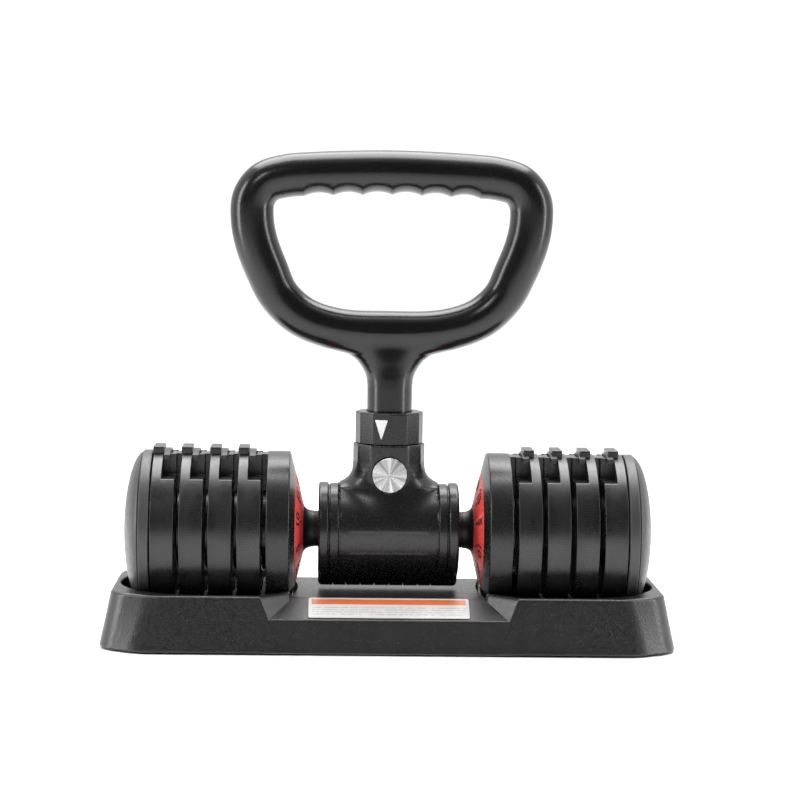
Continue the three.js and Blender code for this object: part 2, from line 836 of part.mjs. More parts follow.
// The neck has twelve sides and spreads into a saddle over the barrel.
function neck() {
  const flare = [
    [19, 24, neckRadius + 0.5],
    [33, 38.5, neckRadius],
    [36.5, 36, neckRadius],
    [40, 32, neckRadius],
    [44, 29.2, neckRadius],
    [48, 27.6, neckRadius],
    [52, neckRadius, neckRadius],
    [neckTop, neckRadius, neckRadius],
  ];
  return loft(flare.map(([z, halfWidth, halfDepth]) => ring(z, halfWidth, halfDepth, 12)));
}

function knuckles(isFront, radius, play) {
  const made = [];
  for (let i = isFront ? 0 : 1; i < knuckleEdges.length - 1; i += 2) {
    const from = knuckleEdges[i] + gap / 2 - play;
    const to = knuckleEdges[i + 1] - gap / 2 + play;
    made.push(moved(cylinder("x", from, to, radius, boreSides), [0, 0, -hingeDrop]));
  }
  return made;
}

function shellBody(isFront) {
  const far = 100;
  const side = isFront ? [-far, -partingHalf] : [partingHalf, far];
  const half = block([-far, far], side, [-far, far]);
  const boss = cylinder("y", -buttonFace + 2, -buttonPocketFloor, buttonRadius + 2.1, 24);
  const outer = joined([barrel(), hingeWeb(), neck(), moved(boss, [0, 0, buttonLevel])]);
  const level = (body, z) => moved(body, [0, 0, z]);
  const openings = [
    cylinder("x", -cavityHalf, cavityHalf, housingCavity, 24),
    cylinder("x", -far, far, hubRadius + 0.6, 20),
    cylinder("z", stemFoot - 0.5, far, stemRadius + stemPlay, boreSides),
    level(cylinder("y", -far, -buttonPocketFloor, buttonRadius + plungerHole, 24), buttonLevel),
    level(cylinder("y", -far, 0, plungerRadius + plungerHole, 12), buttonLevel),
    level(cylinder("y", 0, far, screwRadius + gap, 12), screwLevel),
    level(cylinder("y", screwSeat - gap, far, screwHeadRadius + gap, 12), screwLevel),
    ...knuckles(!isFront, knuckleRadius + 0.4, 0.3),
  ];
  const shell = without(outer.intersect(half), openings);
  const pinHole = moved(
    cylinder("x", -far, far, hingePinRadius + gap, 12),
    [0, 0, -hingeDrop],
  );
  return joined([shell, ...knuckles(isFront, knuckleRadius, 0)]).subtract(pinHole);
}

function linerBody(isFront) {
  const side = isFront ? [-50, -partingHalf] : [partingHalf, 50];
  const whole = tube("x", -gripHalf - 0.4, gripHalf + 0.4, gripRadius + gap, linerRadius, 20);
  return whole.intersect(block([-60, 60], side, [-50, 50]));
}

// One smooth closed tube for the D, a flared stem below it, and finger grooves under the grip.
function handleBody() {
  const right = handlePath.map(([x, z, radius]) => new THREE.Vector4(x, z, radius));
  const left = right
    .slice(1, -1)
    .map((p) => new THREE.Vector4(-p.x, p.y, p.z))
    .reverse();
  const points = [...right, ...left];
  const middles = points.map((p) => new THREE.Vector3(p.x, p.y, 0));
  const radii = points.map((p) => new THREE.Vector3(p.z, 0, 0));
  const path = new THREE.CatmullRomCurve3(middles, true, "centripetal");
  const stations = 48;
  const sides = 12;
  const rings = [];
  for (let i = 0; i < stations; i += 1) {
    const t = path.getUtoTmapping(i / stations);
    const middle = path.getPoint(t);
    const along = path.getTangent(t);
    const out = new THREE.Vector3(along.y, -along.x, 0);
    const place = t * radii.length;
    const before = radii[Math.floor(place) % radii.length].x;
    const after = radii[Math.ceil(place) % radii.length].x;
    const radius = THREE.MathUtils.lerp(before, after, place % 1);
    rings.push(
      Array.from({ length: sides }, (_, j) => {
        const angle = (2 * Math.PI * j) / sides;
        const flat = middle.clone().addScaledVector(out, radius * Math.cos(angle));
        return [flat.x, radius * handleDepthShare * Math.sin(angle), flat.y];
      }),
    );
  }
  const gripUnderside = handlePath[handlePath.length - 1][1] - 18.2;
  const grooveRadius = fingerPitch ** 2 / (8 * fingerDepth) + fingerDepth / 2;
  const grooves = Array.from({ length: fingerCount }, (_, i) => {
    const x = (i - (fingerCount - 1) / 2) * fingerPitch;
    const z = gripUnderside + fingerDepth - grooveRadius;
    return moved(cylinder("y", -30, 30, grooveRadius, 40), [x, 0, z]);
  });
  const stem = loft(
    [
      [stemFoot, stemRadius, stemRadius],
      [107, stemRadius + 0.1, stemRadius],
      [113.5, stemRadius + 0.7, stemRadius - 0.2],
      [118, stemRadius + 2.2, stemRadius - 0.6],
      [122.5, stemRadius + 4.8, stemRadius - 1],
      [127, stemRadius + 8.2, stemRadius - 1.2],
      [131.5, stemRadius + 14, stemRadius - 1.6],
      [136, stemRadius + 27, stemRadius - 2.2],
      [141, stemRadius + 34, stemRadius - 3],
    ].map(([z, halfWidth, halfDepth]) => ring(z, halfWidth, halfDepth, 16)),
  );
  const latchHole = moved(
    cylinder("y", -stemRadius - 5, -plungerTip + 4.5, plungerRadius + 1.2, 12),
    [0, 0, buttonLevel],
  );
  const screwHole = moved(cylinder("y", 5.5, stemRadius + 5, screwRadius + gap, 12), [
    0,
    0,
    screwLevel,
  ]);
  return without(loft(rings, true).add(stem), [...grooves, latchHole, screwHole]);
}

// Twelve-sided ring with a small bevel at its top, turned by hand round the stem.
function collarBody() {
  const low = neckTop + gap;
  const high = low + collarHeight;
  const outer = loft([
    ring(low, collarRadius, collarRadius, 12),
    ring(high - 1.2, collarRadius, collarRadius, 12),
    ring(high, collarRadius - 1.2, collarRadius - 1.2, 12),
  ]);
  return outer.subtract(cylinder("z", low - 1, high + 1, stemRadius + 0.5, boreSides));
}

// Pointer on one side of the collar: a thin triangle standing on the flat.
function arrowBody() {
  const face = collarRadius * Math.cos(Math.PI / 12) + gap;
  const low = neckTop + gap + 3.6;
  const triangle = [
    [0, low],
    [4.85, low + 15],
    [-4.85, low + 15],
  ];
  return prism("y", -face - 0.4, -face, triangle);
}

class Helix extends THREE.Curve {
  constructor(radius, from, to, turns) {
    super();
    Object.assign(this, { radius, from, to, turns });
  }

  getPoint(t, target = new THREE.Vector3()) {
    const angle = 2 * Math.PI * this.turns * t;
    const y = this.from + (this.to - this.from) * t;
    return target.set(this.radius * Math.cos(angle), y, this.radius * Math.sin(angle));
  }
}

function springBody(from, to) {
  const wire = 0.5;
  const path = new Helix(plungerRadius + 2.4, from + wire, to - wire, 2.5);
  const section = new THREE.Shape(arc(wire, 0, 270, 3).map(([u, v]) => new THREE.Vector2(u, v)));
  const options = { steps: 20, extrudePath: path, bevelEnabled: false };
  return solid(new THREE.ExtrudeGeometry(section, options));
}

function screwBody() {
  return turned(
    "y",
    [
      [6, 0],
      [6, screwRadius],
      [screwSeat, screwRadius],
      [screwSeat, screwHeadRadius],
      [screwSeat + 3, screwHeadRadius],
      [screwSeat + 3, 2],
      [screwSeat + 1.2, 2],
      [screwSeat + 1.2, 0],
    ],
    12,
  );
}

function buildKettlebellHandle(parent) {
  const handle = group(parent, [0, 0, axisHeight]);
  piece(handle, "rear_shell", shellBody(false), finish.shell);
  piece(handle, "front_shell", shellBody(true), finish.shell);
  piece(handle, "liner_rear", linerBody(false), finish.rubber);
  piece(handle, "liner_front", linerBody(true), finish.rubber);
  const pinHalf = housingHalf - 0.6;
  const hingePin = cylinder("x", -pinHalf, pinHalf, hingePinRadius, 12);
  piece(handle, "hinge_pin", hingePin, finish.steel, [0, 0, -hingeDrop]);
  piece(handle, "handle", handleBody(), finish.handle);
  piece(handle, "stem_screw", screwBody(), finish.steel, [0, 0, screwLevel]);
  piece(handle, "lock_collar", collarBody(), finish.shell);
  const arrow = piece(handle, "collar_arrow", arrowBody(), finish.arrow);
  arrow.rotation.z = -Math.PI / 12;
  const button = group(handle, [0, 0, buttonLevel]);
  const buttonBack = buttonFace - buttonThickness;
  const cap = turned(
    "y",
    [
      [-buttonFace, 0],
      [-buttonFace, buttonRadius - 0.6],
      [-buttonFace + 0.6, buttonRadius],
      [-buttonBack, buttonRadius],
      [-buttonBack, 0],
    ],
    24,
  );
  piece(button, "release_button", cap, finish.button);
  const plunger = cylinder("y", -buttonBack + gap, -plungerTip, plungerRadius, 12);
  piece(button, "latch_plunger", plunger, finish.steel);
  const spring = springBody(-buttonBack + gap, -buttonPocketFloor - gap);
  piece(button, "button_spring", spring, finish.steel);
}

// ------------------------------------------------------------------ assembly

const adjustableDumbbell = new THREE.Group();
buildTray(adjustableDumbbell);
buildDumbbell(adjustableDumbbell);
buildKettlebellHandle(adjustableDumbbell);

export default adjustableDumbbell;
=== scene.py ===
"""Looks of the adjustable dumbbell with its clamp-on kettlebell handle, in its tray.

Sizes in this file are millimetres, with X along the dumbbell, -Y to the front and Z up, and
become metres where a mesh is made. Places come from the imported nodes' boxes.
"""

import math

import bmesh
import bpy
import numpy as np
from mathutils import Matrix, Quaternion, Vector


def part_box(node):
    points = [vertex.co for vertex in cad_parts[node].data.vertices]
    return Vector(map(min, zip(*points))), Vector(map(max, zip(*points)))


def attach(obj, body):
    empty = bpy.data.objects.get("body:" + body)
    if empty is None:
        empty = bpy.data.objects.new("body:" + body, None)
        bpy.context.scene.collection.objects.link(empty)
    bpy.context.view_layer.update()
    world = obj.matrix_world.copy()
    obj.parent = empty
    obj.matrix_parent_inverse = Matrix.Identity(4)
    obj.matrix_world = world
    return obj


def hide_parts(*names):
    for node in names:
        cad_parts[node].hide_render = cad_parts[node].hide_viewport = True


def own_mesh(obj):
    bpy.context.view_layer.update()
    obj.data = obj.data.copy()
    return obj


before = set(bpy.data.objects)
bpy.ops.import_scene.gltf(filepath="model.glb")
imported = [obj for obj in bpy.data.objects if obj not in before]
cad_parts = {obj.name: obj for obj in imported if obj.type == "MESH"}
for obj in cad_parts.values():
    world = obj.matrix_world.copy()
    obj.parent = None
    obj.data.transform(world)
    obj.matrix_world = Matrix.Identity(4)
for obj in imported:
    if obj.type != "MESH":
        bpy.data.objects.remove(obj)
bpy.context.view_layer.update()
scene = bpy.context.scene


# ---------------------------------------------------------------- places from the frame


def box(node):
    low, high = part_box(node)
    return np.array(low) * 1000, np.array(high) * 1000


def middle(node):
    low, high = box(node)
    return (low + high) / 2


AXIS = float(middle("grip_sleeve")[2])
GAP = 0.3
PLATE_RADIUS = float(box("plate_right_4")[1][1])
PLATE_THICKNESS = float(np.ptp([c[0] for c in box("plate_right_4")]))
PLATE_STARTS = [float(box(f"plate_right_{i}")[0][0]) for i in (1, 2, 3, 4)]
PITCH = PLATE_STARTS[1] - PLATE_STARTS[0]
SPACING = PITCH - PLATE_THICKNESS
SHOULDER = PLATE_THICKNESS - 7.3
NOTCH_LEVEL = 40.8
CROWN_HALF = 13.0
BORE = 8.0
PAD_RADIUS = 31
CAP_OUTER = PLATE_STARTS[0] - SPACING
RING_START, RING_END = (float(c[0]) for c in box("end_ring_right"))
DOME_END = float(box("end_cover_right")[1][0])
HOUSING_HALF = float(box("front_shell")[1][0])
GRIP_HALF = float(box("grip_sleeve")[1][0])
HINGE = float(middle("hinge_pin")[2]) - AXIS
BUTTON = middle("release_button")
BUTTON_RADIUS = float(np.ptp([c[0] for c in box("release_button")])) / 2
NECK_TOP = float(box("lock_collar")[0][2]) - GAP - AXIS
COLLAR_TOP = float(box("lock_collar")[1][2]) - AXIS
RIM_TOP = float(box("base_tray")[1][2])
TRAY_END, TRAY_FOOT = (float(v) for v in box("base_tray")[1][:2])


# ---------------------------------------------------------------- outlines


def arc(radius, start, end, steps, centre=(0.0, 0.0)):
    angles = np.radians(np.linspace(start, end, steps + 1))
    return [(centre[0] + radius * math.cos(a), centre[1] + radius * math.sin(a)) for a in angles]


def fillet(points, radius, closed=True, steps=5):
    """Rounds the corners of an outline. A point's own radius may follow its two coordinates."""
    rounded = []
    count = len(points)
    for i, point in enumerate(points):
        size = point[2] if len(point) > 2 else radius
        here = np.array(point[:2], float)
        if size <= 0 or (not closed and i in (0, count - 1)):
            rounded.append(tuple(here))
            continue
        back = np.array(points[i - 1][:2], float) - here
        ahead = np.array(points[(i + 1) % count][:2], float) - here
        back_length, ahead_length = np.linalg.norm(back), np.linalg.norm(ahead)
        back, ahead = back / back_length, ahead / ahead_length
        inside = math.acos(float(np.clip(back @ ahead, -1, 1)))
        sweep = math.pi - inside
        if sweep < 0.03:
            rounded.append(tuple(here))
            continue
        reach = min(size / math.tan(inside / 2), 0.48 * back_length, 0.48 * ahead_length)
        size = reach * math.tan(inside / 2)
        bisector = (back + ahead) / np.linalg.norm(back + ahead)
        centre = here + bisector * (size / math.sin(inside / 2))
        first, last = here + back * reach - centre, here + ahead * reach - centre
        for k in range(steps + 1):
            t = k / steps
            spoke = math.sin((1 - t) * sweep) * first + math.sin(t * sweep) * last
            rounded.append(tuple(centre + spoke / math.sin(sweep)))
    return rounded


def inset(outline, depth):
    """Moves a counter-clockwise outline inwards by depth."""
    points = np.array(outline, float)
    edges = np.roll(points, -1, 0) - points
    edges /= np.linalg.norm(edges, axis=1)[:, None]
    normals = np.stack([-edges[:, 1], edges[:, 0]], 1)
    before = np.roll(normals, 1, 0)
    share = 1 + (normals * before).sum(1)
    return points + depth * (normals + before) / share[:, None]


def counter_clockwise(outline):
    points = np.array([p[:2] for p in outline], float)
    x, y = points[:, 0], points[:, 1]
    area = (x * np.roll(y, -1) - np.roll(x, -1) * y).sum()
    return points if area > 0 else points[::-1]


# ---------------------------------------------------------------- meshes


def linked(name, data):
    made = bpy.data.objects.new(name, data)
    scene.collection.objects.link(made)
    return made


def welded(name, mesh):
    """A piece from a mesh whose doubled points are joined and whose faces point outwards."""
    shape = bmesh.new()
    shape.from_mesh(mesh)
    bmesh.ops.remove_doubles(shape, verts=shape.verts, dist=1e-7)
    bmesh.ops.recalc_face_normals(shape, faces=shape.faces)
    shape.to_mesh(mesh)
    shape.free()
    return linked(name, mesh)


def make(name, vertices, faces):
    mesh = bpy.data.meshes.new(name)
    mesh.from_pydata([tuple(float(c) / 1000 for c in v) for v in vertices], [], faces)
    return welded(name, mesh)


def loft(name, rings, endless=False):
    """A skin over rings of equally many points; the first and last rings are closed flat."""
    count = len(rings[0])
    vertices = [tuple(point) for one in rings for point in one]
    faces = []
    spans = len(rings) if endless else len(rings) - 1
    for i in range(spans):
        low, high = i * count, (i + 1) % len(rings) * count
        for j in range(count):
            k = (j + 1) % count
            faces.append((low + j, low + k, high + k, high + j))
    if not endless:
        faces.append(tuple(range(count)))
        faces.append(tuple(range(len(vertices) - count, len(vertices))))
    return make(name, vertices, faces)


def lay(axis, along, u, v):
    """A point from its place along an axis and the two other coordinates, in order."""
    return {"X": (along, u, v), "Y": (u, along, v), "Z": (u, v, along)}[axis]


def prism(name, outline, axis, low, high, round_low=0.0, round_high=0.0, steps=3):
    """Stretches an outline along an axis, with the edges at its two ends rounded."""
    outline = counter_clockwise(outline)
    levels = []
    for radius, end, way in ((round_low, low, 1), (round_high, high, -1)):
        turns = np.linspace(0, math.pi / 2, steps + 1) if radius > 0 else [math.pi / 2]
        edge = [(radius * (1 - math.sin(a)), end + way * radius * (1 - math.cos(a))) for a in turns]
        levels += edge if way > 0 else edge[::-1]
    rings = [[lay(axis, at, u, v) for u, v in inset(outline, depth)] for depth, at in levels]
    return loft(name, rings)


def lathe(name, profile, sides=128, axis="X", centre=(0, 0, 0)):
    """Turns a profile of (place along the axis, radius) round the axis."""
    ring_shaped = np.allclose(profile[0], profile[-1])
    if ring_shaped:
        profile = profile[:-1]
    vertices, rows = [], []
    for along, radius in profile:
        start = len(vertices)
        around = 1 if radius < 1e-6 else sides
        for k in range(around):
            a = 2 * math.pi * k / sides
            place = lay(axis, along, radius * math.cos(a), radius * math.sin(a))
            vertices.append(tuple(p + c for p, c in zip(place, centre)))
        rows.append([start + k % around for k in range(sides)])
    pairs = list(zip(rows, rows[1:])) + ([(rows[-1], rows[0])] if ring_shaped else [])
    faces = []
    for one, two in pairs:
        for k in range(sides):
            n = (k + 1) % sides
            corners = list(dict.fromkeys((one[k], one[n], two[n], two[k])))
            if len(corners) > 2:
                faces.append(tuple(corners))
    if not ring_shaped:
        faces += [tuple(row) for row in (rows[0], rows[-1]) if len(set(row)) > 1]
    return make(name, vertices, faces)


def cylinder(axis, low, high, radius, centre=(0, 0, 0), sides=64, edge=0.0, name="tool"):
    profile = [(low, 0, 0), (low, radius, edge), (high, radius, edge), (high, 0, 0)]
    return lathe(name, fillet(profile, 0, closed=False, steps=4), sides, axis, centre)


def brick(low, high, name="tool"):
    outline = [(low[0], low[1]), (high[0], low[1]), (high[0], high[1]), (low[0], high[1])]
    return prism(name, outline, "Z", low[2], high[2])


def bake(thing):
    """Replaces a piece's mesh with the result of its modifiers."""
    graph = bpy.context.evaluated_depsgraph_get()
    result = bpy.data.meshes.new_from_object(thing.evaluated_get(graph), depsgraph=graph)
    old = thing.data
    thing.modifiers.clear()
    thing.data = result
    result.name = old.name
    bpy.data.meshes.remove(old)
    return thing


def combine(body, tools, operation):
    for tool in tools:
        step = body.modifiers.new("combine", "BOOLEAN")
        step.object, step.operation, step.solver = tool, operation, "MANIFOLD"
    bake(body)
    for tool in tools:
        bpy.data.objects.remove(tool)
    return body


def cut(body, *tools):
    return combine(body, tools, "DIFFERENCE")


def add(body, *tools):
    return combine(body, tools, "UNION")


def shift(thing, x=0.0, y=0.0, z=0.0):
    thing.data.transform(Matrix.Translation((x / 1000, y / 1000, z / 1000)))
    return thing


def copy_of(thing, name, matrix=None):
    made = linked(name, thing.data.copy())
    if matrix:
        made.data.transform(matrix)
    return made


HALF_TURN = Matrix.Rotation(math.pi, 4, "Z")


def smooth(thing, angle=38):
    """Smooth shading that breaks at edges sharper than the angle and keeps flats flat."""
    shape = bmesh.new()
    shape.from_mesh(thing.data)
    for face in shape.faces:
        face.smooth = True
    for edge in shape.edges:
        edge.smooth = edge.calc_face_angle(0) < math.radians(angle)
    shape.to_mesh(thing.data)
    shape.free()
    weights = thing.modifiers.new("flats", "WEIGHTED_NORMAL")
    weights.keep_sharp = True
    return thing


def place(thing, body, look, *nodes, slot=None, angle=38):
    """Gives a finished piece its material and its body, and hides the CAD nodes that it stands for."""
    smooth(thing, angle)
    thing.data.materials.clear()
    thing.data.materials.append(look)
    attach(thing, body)
    if nodes:
        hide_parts(*nodes)
    return thing


def both_sides(thing, name, body, look, node, slot, angle=38):
    """Places the right-hand piece, and its copy turned half round for the left."""
    left = copy_of(thing, f"{name}_left", HALF_TURN)
    thing.name = f"{name}_right"
    for side, one in (("right", thing), ("left", left)):
        place(one, body.format(side), look, node.format(side), slot=slot, angle=angle)


# ---------------------------------------------------------------- implicit shapes


def project(thing, field, rounds=6):
    """Moves every vertex onto the surface where field is zero."""
    count = len(thing.data.vertices)
    places = np.empty(count * 3, np.float32)
    thing.data.vertices.foreach_get("co", places)
    points = places.reshape(-1, 3).astype(float) * 1000
    step = 0.05
    for _ in range(rounds):
        value = field(points)
        slope = np.stack([(field(points + step * e) - value) / step for e in np.eye(3)], 1)
        length = np.maximum((slope**2).sum(1), 0.05)
        points -= np.clip(value / length, -1.5, 1.5)[:, None] * slope
    thing.data.vertices.foreach_set("co", (points / 1000).astype(np.float32).ravel())
    thing.data.update()
    return thing


def remeshed(thing, size):
    step = thing.modifiers.new("remesh", "REMESH")
    step.mode, step.voxel_size = "VOXEL", size / 1000
    return bake(thing)


def smooth_min(a, b, reach):
    near = np.clip(0.5 + 0.5 * (b - a) / reach, 0, 1)
    return b + (a - b) * near - reach * near * (1 - near)


def smooth_max(a, b, reach):
    return -smooth_min(-a, -b, reach)


def ramp(value, low, high):
    t = np.clip((value - low) / (high - low), 0, 1)
    return t * t * (3 - 2 * t)


# ---------------------------------------------------------------- materials


class Look:
    """A material being built from nodes on object coordinates, in metres."""

    def __init__(self, name, roughness, metallic=0.0, **constants):
        self.material = bpy.data.materials.new(name)
        self.material.use_nodes = True
        self.tree = self.material.node_tree
        self.shader = self.tree.nodes["Principled BSDF"]
        self.shader.inputs["Metallic"].default_value = metallic
        self.shader.inputs["Roughness"].default_value = roughness
        for key, value in constants.items():
            self.shader.inputs[key.replace("_", " ")].default_value = value
        self.coordinates = self.node("TexCoord").outputs["Object"]
        self.height = None

    def node(self, kind, **settings):
        made = self.tree.nodes.new("ShaderNode" + kind)
        for key, value in settings.items():
            setattr(made, key, value)
        return made

    def link(self, source, target):
        self.tree.links.new(source, target)

    def noise(self, per_metre, detail=3.0, roughness=0.55, stretch=None):
        texture = self.node("TexNoise")
        texture.inputs["Scale"].default_value = per_metre
        texture.inputs["Detail"].default_value = detail
        texture.inputs["Roughness"].default_value = roughness
        source = self.coordinates
        if stretch:
            mapping = self.node("Mapping")
            mapping.inputs["Scale"].default_value = stretch
            self.link(source, mapping.inputs["Vector"])
            source = mapping.outputs["Vector"]
        self.link(source, texture.inputs["Vector"])
        return texture.outputs["Fac"]

    def cells(self, per_metre, feature="F1", randomness=1.0):
        texture = self.node("TexVoronoi", feature=feature)
        texture.inputs["Scale"].default_value = per_metre
        texture.inputs["Randomness"].default_value = randomness
        self.link(self.coordinates, texture.inputs["Vector"])
        return texture

    def scale(self, source, low, high, to_low=0.0, to_high=1.0):
        made = self.node("MapRange")
        self.link(source, made.inputs["Value"])
        ends = (low, high, to_low, to_high)
        for key, value in zip(("From Min", "From Max", "To Min", "To Max"), ends):
            made.inputs[key].default_value = value
        return made.outputs["Result"]

    def axes(self):
        """The three object coordinates, each as a value of its own."""
        split = self.node("SeparateXYZ")
        self.link(self.coordinates, split.inputs[0])
        return split.outputs[:]

    def cloud(self, per_metre, detail, low=0.0, high=1.0, start=0.3, end=0.7, **kind):
        """Noise spread over its usual middle range, then brought to low and high."""
        return self.scale(self.noise(per_metre, detail, **kind), start, end, low, high)

    def math(self, operation, first, second=0):
        made = self.node("Math", operation=operation)
        for socket, value in zip(made.inputs, (first, second)):
            if isinstance(value, (int, float)):
                socket.default_value = value
            else:
                self.link(value, socket)
        return made.outputs[0]

    def mix(self, share, first, second):
        made = self.node("Mix", data_type="RGBA")
        for key, value in ((0, share), (6, first), (7, second)):
            if isinstance(value, (int, float, tuple)):
                made.inputs[key].default_value = value
            else:
                self.link(value, made.inputs[key])
        return made.outputs[2]

    def colour(self, source):
        self.link(source, self.shader.inputs["Base Color"])
        return self

    def rough(self, source):
        self.link(source, self.shader.inputs["Roughness"])
        return self

    def bump(self, source, millimetres, strength=1.0):
        made = self.node("Bump")
        made.inputs["Distance"].default_value = millimetres / 1000
        made.inputs["Strength"].default_value = strength
        self.link(source, made.inputs["Height"])
        if self.height:
            self.link(self.height, made.inputs["Normal"])
        self.height = made.outputs["Normal"]
        self.link(self.height, self.shader.inputs["Normal"])
        return self

    def edges(self, gain=1.0):
        """A share that is higher where the surface bends outwards, for a painted highlight on edges."""
        return self.scale(self.node("NewGeometry").outputs["Pointiness"], 0.53, 0.6, 0, gain)


def grey(value, tint=1.04):
    return (value, value * (1 + (tint - 1) * 0.3), value * tint, 1)


def moulded(name, dark, light, roughness, grain=900, depth=0.03, spread=0.07):
    """Black moulded plastic: fine grain, uneven gloss and edges painted paler as a painted highlight."""
    look = Look(name, roughness, Specular_IOR_Level=0.5)
    cloud = look.noise(28, 4)
    base = look.mix(look.scale(cloud, 0.35, 0.7), grey(dark), grey(light))
    # Convex edges are painted paler: a painted highlight.
    look.colour(look.mix(look.edges(0.5), base, grey(light * 2.2)))
    fine = look.noise(grain * 0.4, 2)
    shine = look.scale(fine, 0.3, 0.7, roughness - spread, roughness + spread)
    smudge = look.scale(look.noise(16, 5, 0.6), 0.35, 0.7, -spread * 0.6, spread * 0.6)
    look.rough(look.math("ADD", shine, smudge))
    look.bump(look.noise(grain, 2), depth)
    return look.material


def speckled_plastic(name):
    """The tray's coarse moulded grain, with glints painted as pale flecks here and there and a painted highlight
    on its edges.
    """
    look = Look(name, 0.42, Specular_IOR_Level=0.75)
    cloud = look.cloud(22, 5, start=0.35)
    base = look.mix(cloud, grey(0.0055), grey(0.009))
    # Pale flecks painted into the colour stand for glints of the grain: painted glints.
    glint_cells = look.cells(760)
    glint_spot = look.scale(glint_cells.outputs["Distance"], 0.10, 0.24, 1, 0)
    chosen = look.math("MULTIPLY", glint_spot, look.cloud(240, 2, start=0.50, end=0.60))
    # Convex edges such as the rim are painted paler: a painted highlight.
    edge = look.mix(look.edges(0.6), base, grey(0.075))
    look.colour(look.mix(chosen, edge, grey(0.11)))
    look.rough(look.cloud(420, 3, 0.29, 0.44))
    look.bump(look.noise(620, 3, 0.6), 0.08)
    look.bump(look.cells(900).outputs["Distance"], 0.04)
    return look.material


def cast_paint(name):
    """Satin enamel over cast iron: a slight orange peel, small dents and a painted highlight on its edges."""
    look = Look(name, 0.34, Specular_IOR_Level=0.55, Coat_Weight=0.15, Coat_Roughness=0.25)
    cloud = look.cloud(20, 5, start=0.35, roughness=0.6)
    base = look.mix(cloud, grey(0.0055), grey(0.0085))
    # Convex edges are painted paler: a painted highlight.
    look.colour(look.mix(look.edges(0.5), base, grey(0.05)))
    scuff = look.cloud(60, 6, 0.27, 0.46, 0.42, 0.72, roughness=0.7, stretch=(1, 1, 0.25))
    look.rough(look.math("ADD", scuff, look.cloud(500, 2, -0.03, 0.03)))
    look.bump(look.noise(190, 3), 0.045)
    look.bump(look.noise(1400, 2), 0.012)
    return look.material


def metal(name, value, roughness, stretch=(1, 1, 1)):
    look = Look(name, roughness, metallic=1.0)
    streak = look.noise(700, 3, 0.6, stretch=stretch)
    worn = look.cloud(35, 4, 0.82, 1.0)
    shade = look.math("MULTIPLY", worn, look.scale(streak, 0.3, 0.7, 0.86, 1.0))
    look.colour(look.mix(shade, (value * 0.55, value * 0.55, value * 0.56, 1), grey(value, 1)))
    look.rough(look.scale(streak, 0.3, 0.7, roughness - 0.08, roughness + 0.1))
    look.bump(streak, 0.012)
    return look.material


def rubber(name, dark=0.012, light=0.02):
    look = Look(name, 0.78, Sheen_Weight=0.25, Sheen_Roughness=0.5, Specular_IOR_Level=0.35)
    cloud = look.cloud(40, 4, start=0.35)
    look.colour(look.mix(cloud, grey(dark), grey(light)))
    look.rough(look.cloud(350, 3, 0.68, 0.88))
    look.bump(look.noise(1100, 3), 0.05)
    return look.material


def knurled(name):
    """Grip tube with a crossed diamond pattern wound round it."""
    look = Look(name, 0.7, Specular_IOR_Level=0.4)
    x, y, z = look.axes()
    along = look.math("MULTIPLY", x, 2 * math.pi / 0.0032)
    height = look.math("SUBTRACT", z, AXIS / 1000)
    round_axis = look.math("ARCTAN2", y, height)
    around = look.math("MULTIPLY", round_axis, 32)
    ridges = [look.math("SINE", look.math(way, along, around)) for way in ("ADD", "SUBTRACT")]
    crossed = look.math("MULTIPLY", ridges[0], ridges[1])
    # The diamonds' ridges are painted lighter and their grooves darker: painted highlight and painted shade.
    look.colour(look.mix(look.scale(crossed, -1, 1), grey(0.010), grey(0.022)))
    look.bump(crossed, 0.25)
    return look.material


def dial_plastic(name):
    look = Look(name, 0.42, Specular_IOR_Level=0.5)
    cloud = look.cloud(45, 4)
    base = look.mix(cloud, (0.66, 0.045, 0.040, 1), (0.80, 0.075, 0.065, 1))
    # Convex edges are painted a paler red: a painted highlight.
    look.colour(look.mix(look.edges(0.5), base, (0.9, 0.2, 0.17, 1)))
    look.rough(look.cloud(300, 3, 0.34, 0.5))
    look.bump(look.noise(900, 2), 0.02)
    return look.material


def printed_label(name, front, back):
    """White film with one orange band and rows of grey rules under it."""
    look = Look(name, 0.38, Coat_Weight=0.3, Coat_Roughness=0.2)
    x, y, _ = look.axes()
    across = look.scale(y, front / 1000, back / 1000)
    side = look.math("ABSOLUTE", x)

    def between(value, low, high, soft):
        rising = look.scale(value, low - soft, low + soft)
        return look.math("MULTIPLY", rising, look.scale(value, high - soft, high + soft, 1, 0))

    inside = look.scale(side, 0.0560, 0.0564, 1, 0)
    band = look.math("MULTIPLY", between(across, 0.66, 0.92, 0.012), inside)
    rows = look.math("FRACT", look.math("MULTIPLY", across, 9))
    words = look.cloud(420, 1, start=0.42, end=0.46, roughness=0.5, stretch=(1, 1.2, 1.2))
    rules = look.math("MULTIPLY", between(rows, 0.3, 0.75, 0.06), between(across, 0.10, 0.57, 0.01))
    rules = look.math("MULTIPLY", look.math("MULTIPLY", rules, inside), words)
    paper = look.mix(look.cloud(60, 4), (0.56, 0.55, 0.54, 1), (0.63, 0.62, 0.61, 1))
    ruled = look.mix(look.math("MULTIPLY", rules, 0.4), paper, (0.16, 0.16, 0.17, 1))
    look.colour(look.mix(band, ruled, (0.66, 0.12, 0.012, 1)))
    look.rough(look.cloud(200, 3, 0.32, 0.46))
    look.bump(look.noise(500, 3), 0.01)
    return look.material


def white_print(name):
    look = Look(name, 0.5)
    look.colour(look.mix(look.cloud(220, 4), grey(0.7544, 1), grey(0.82, 1)))
    look.rough(look.cloud(600, 2, 0.42, 0.6))
    look.bump(look.noise(1500, 2), 0.01)
    return look.material


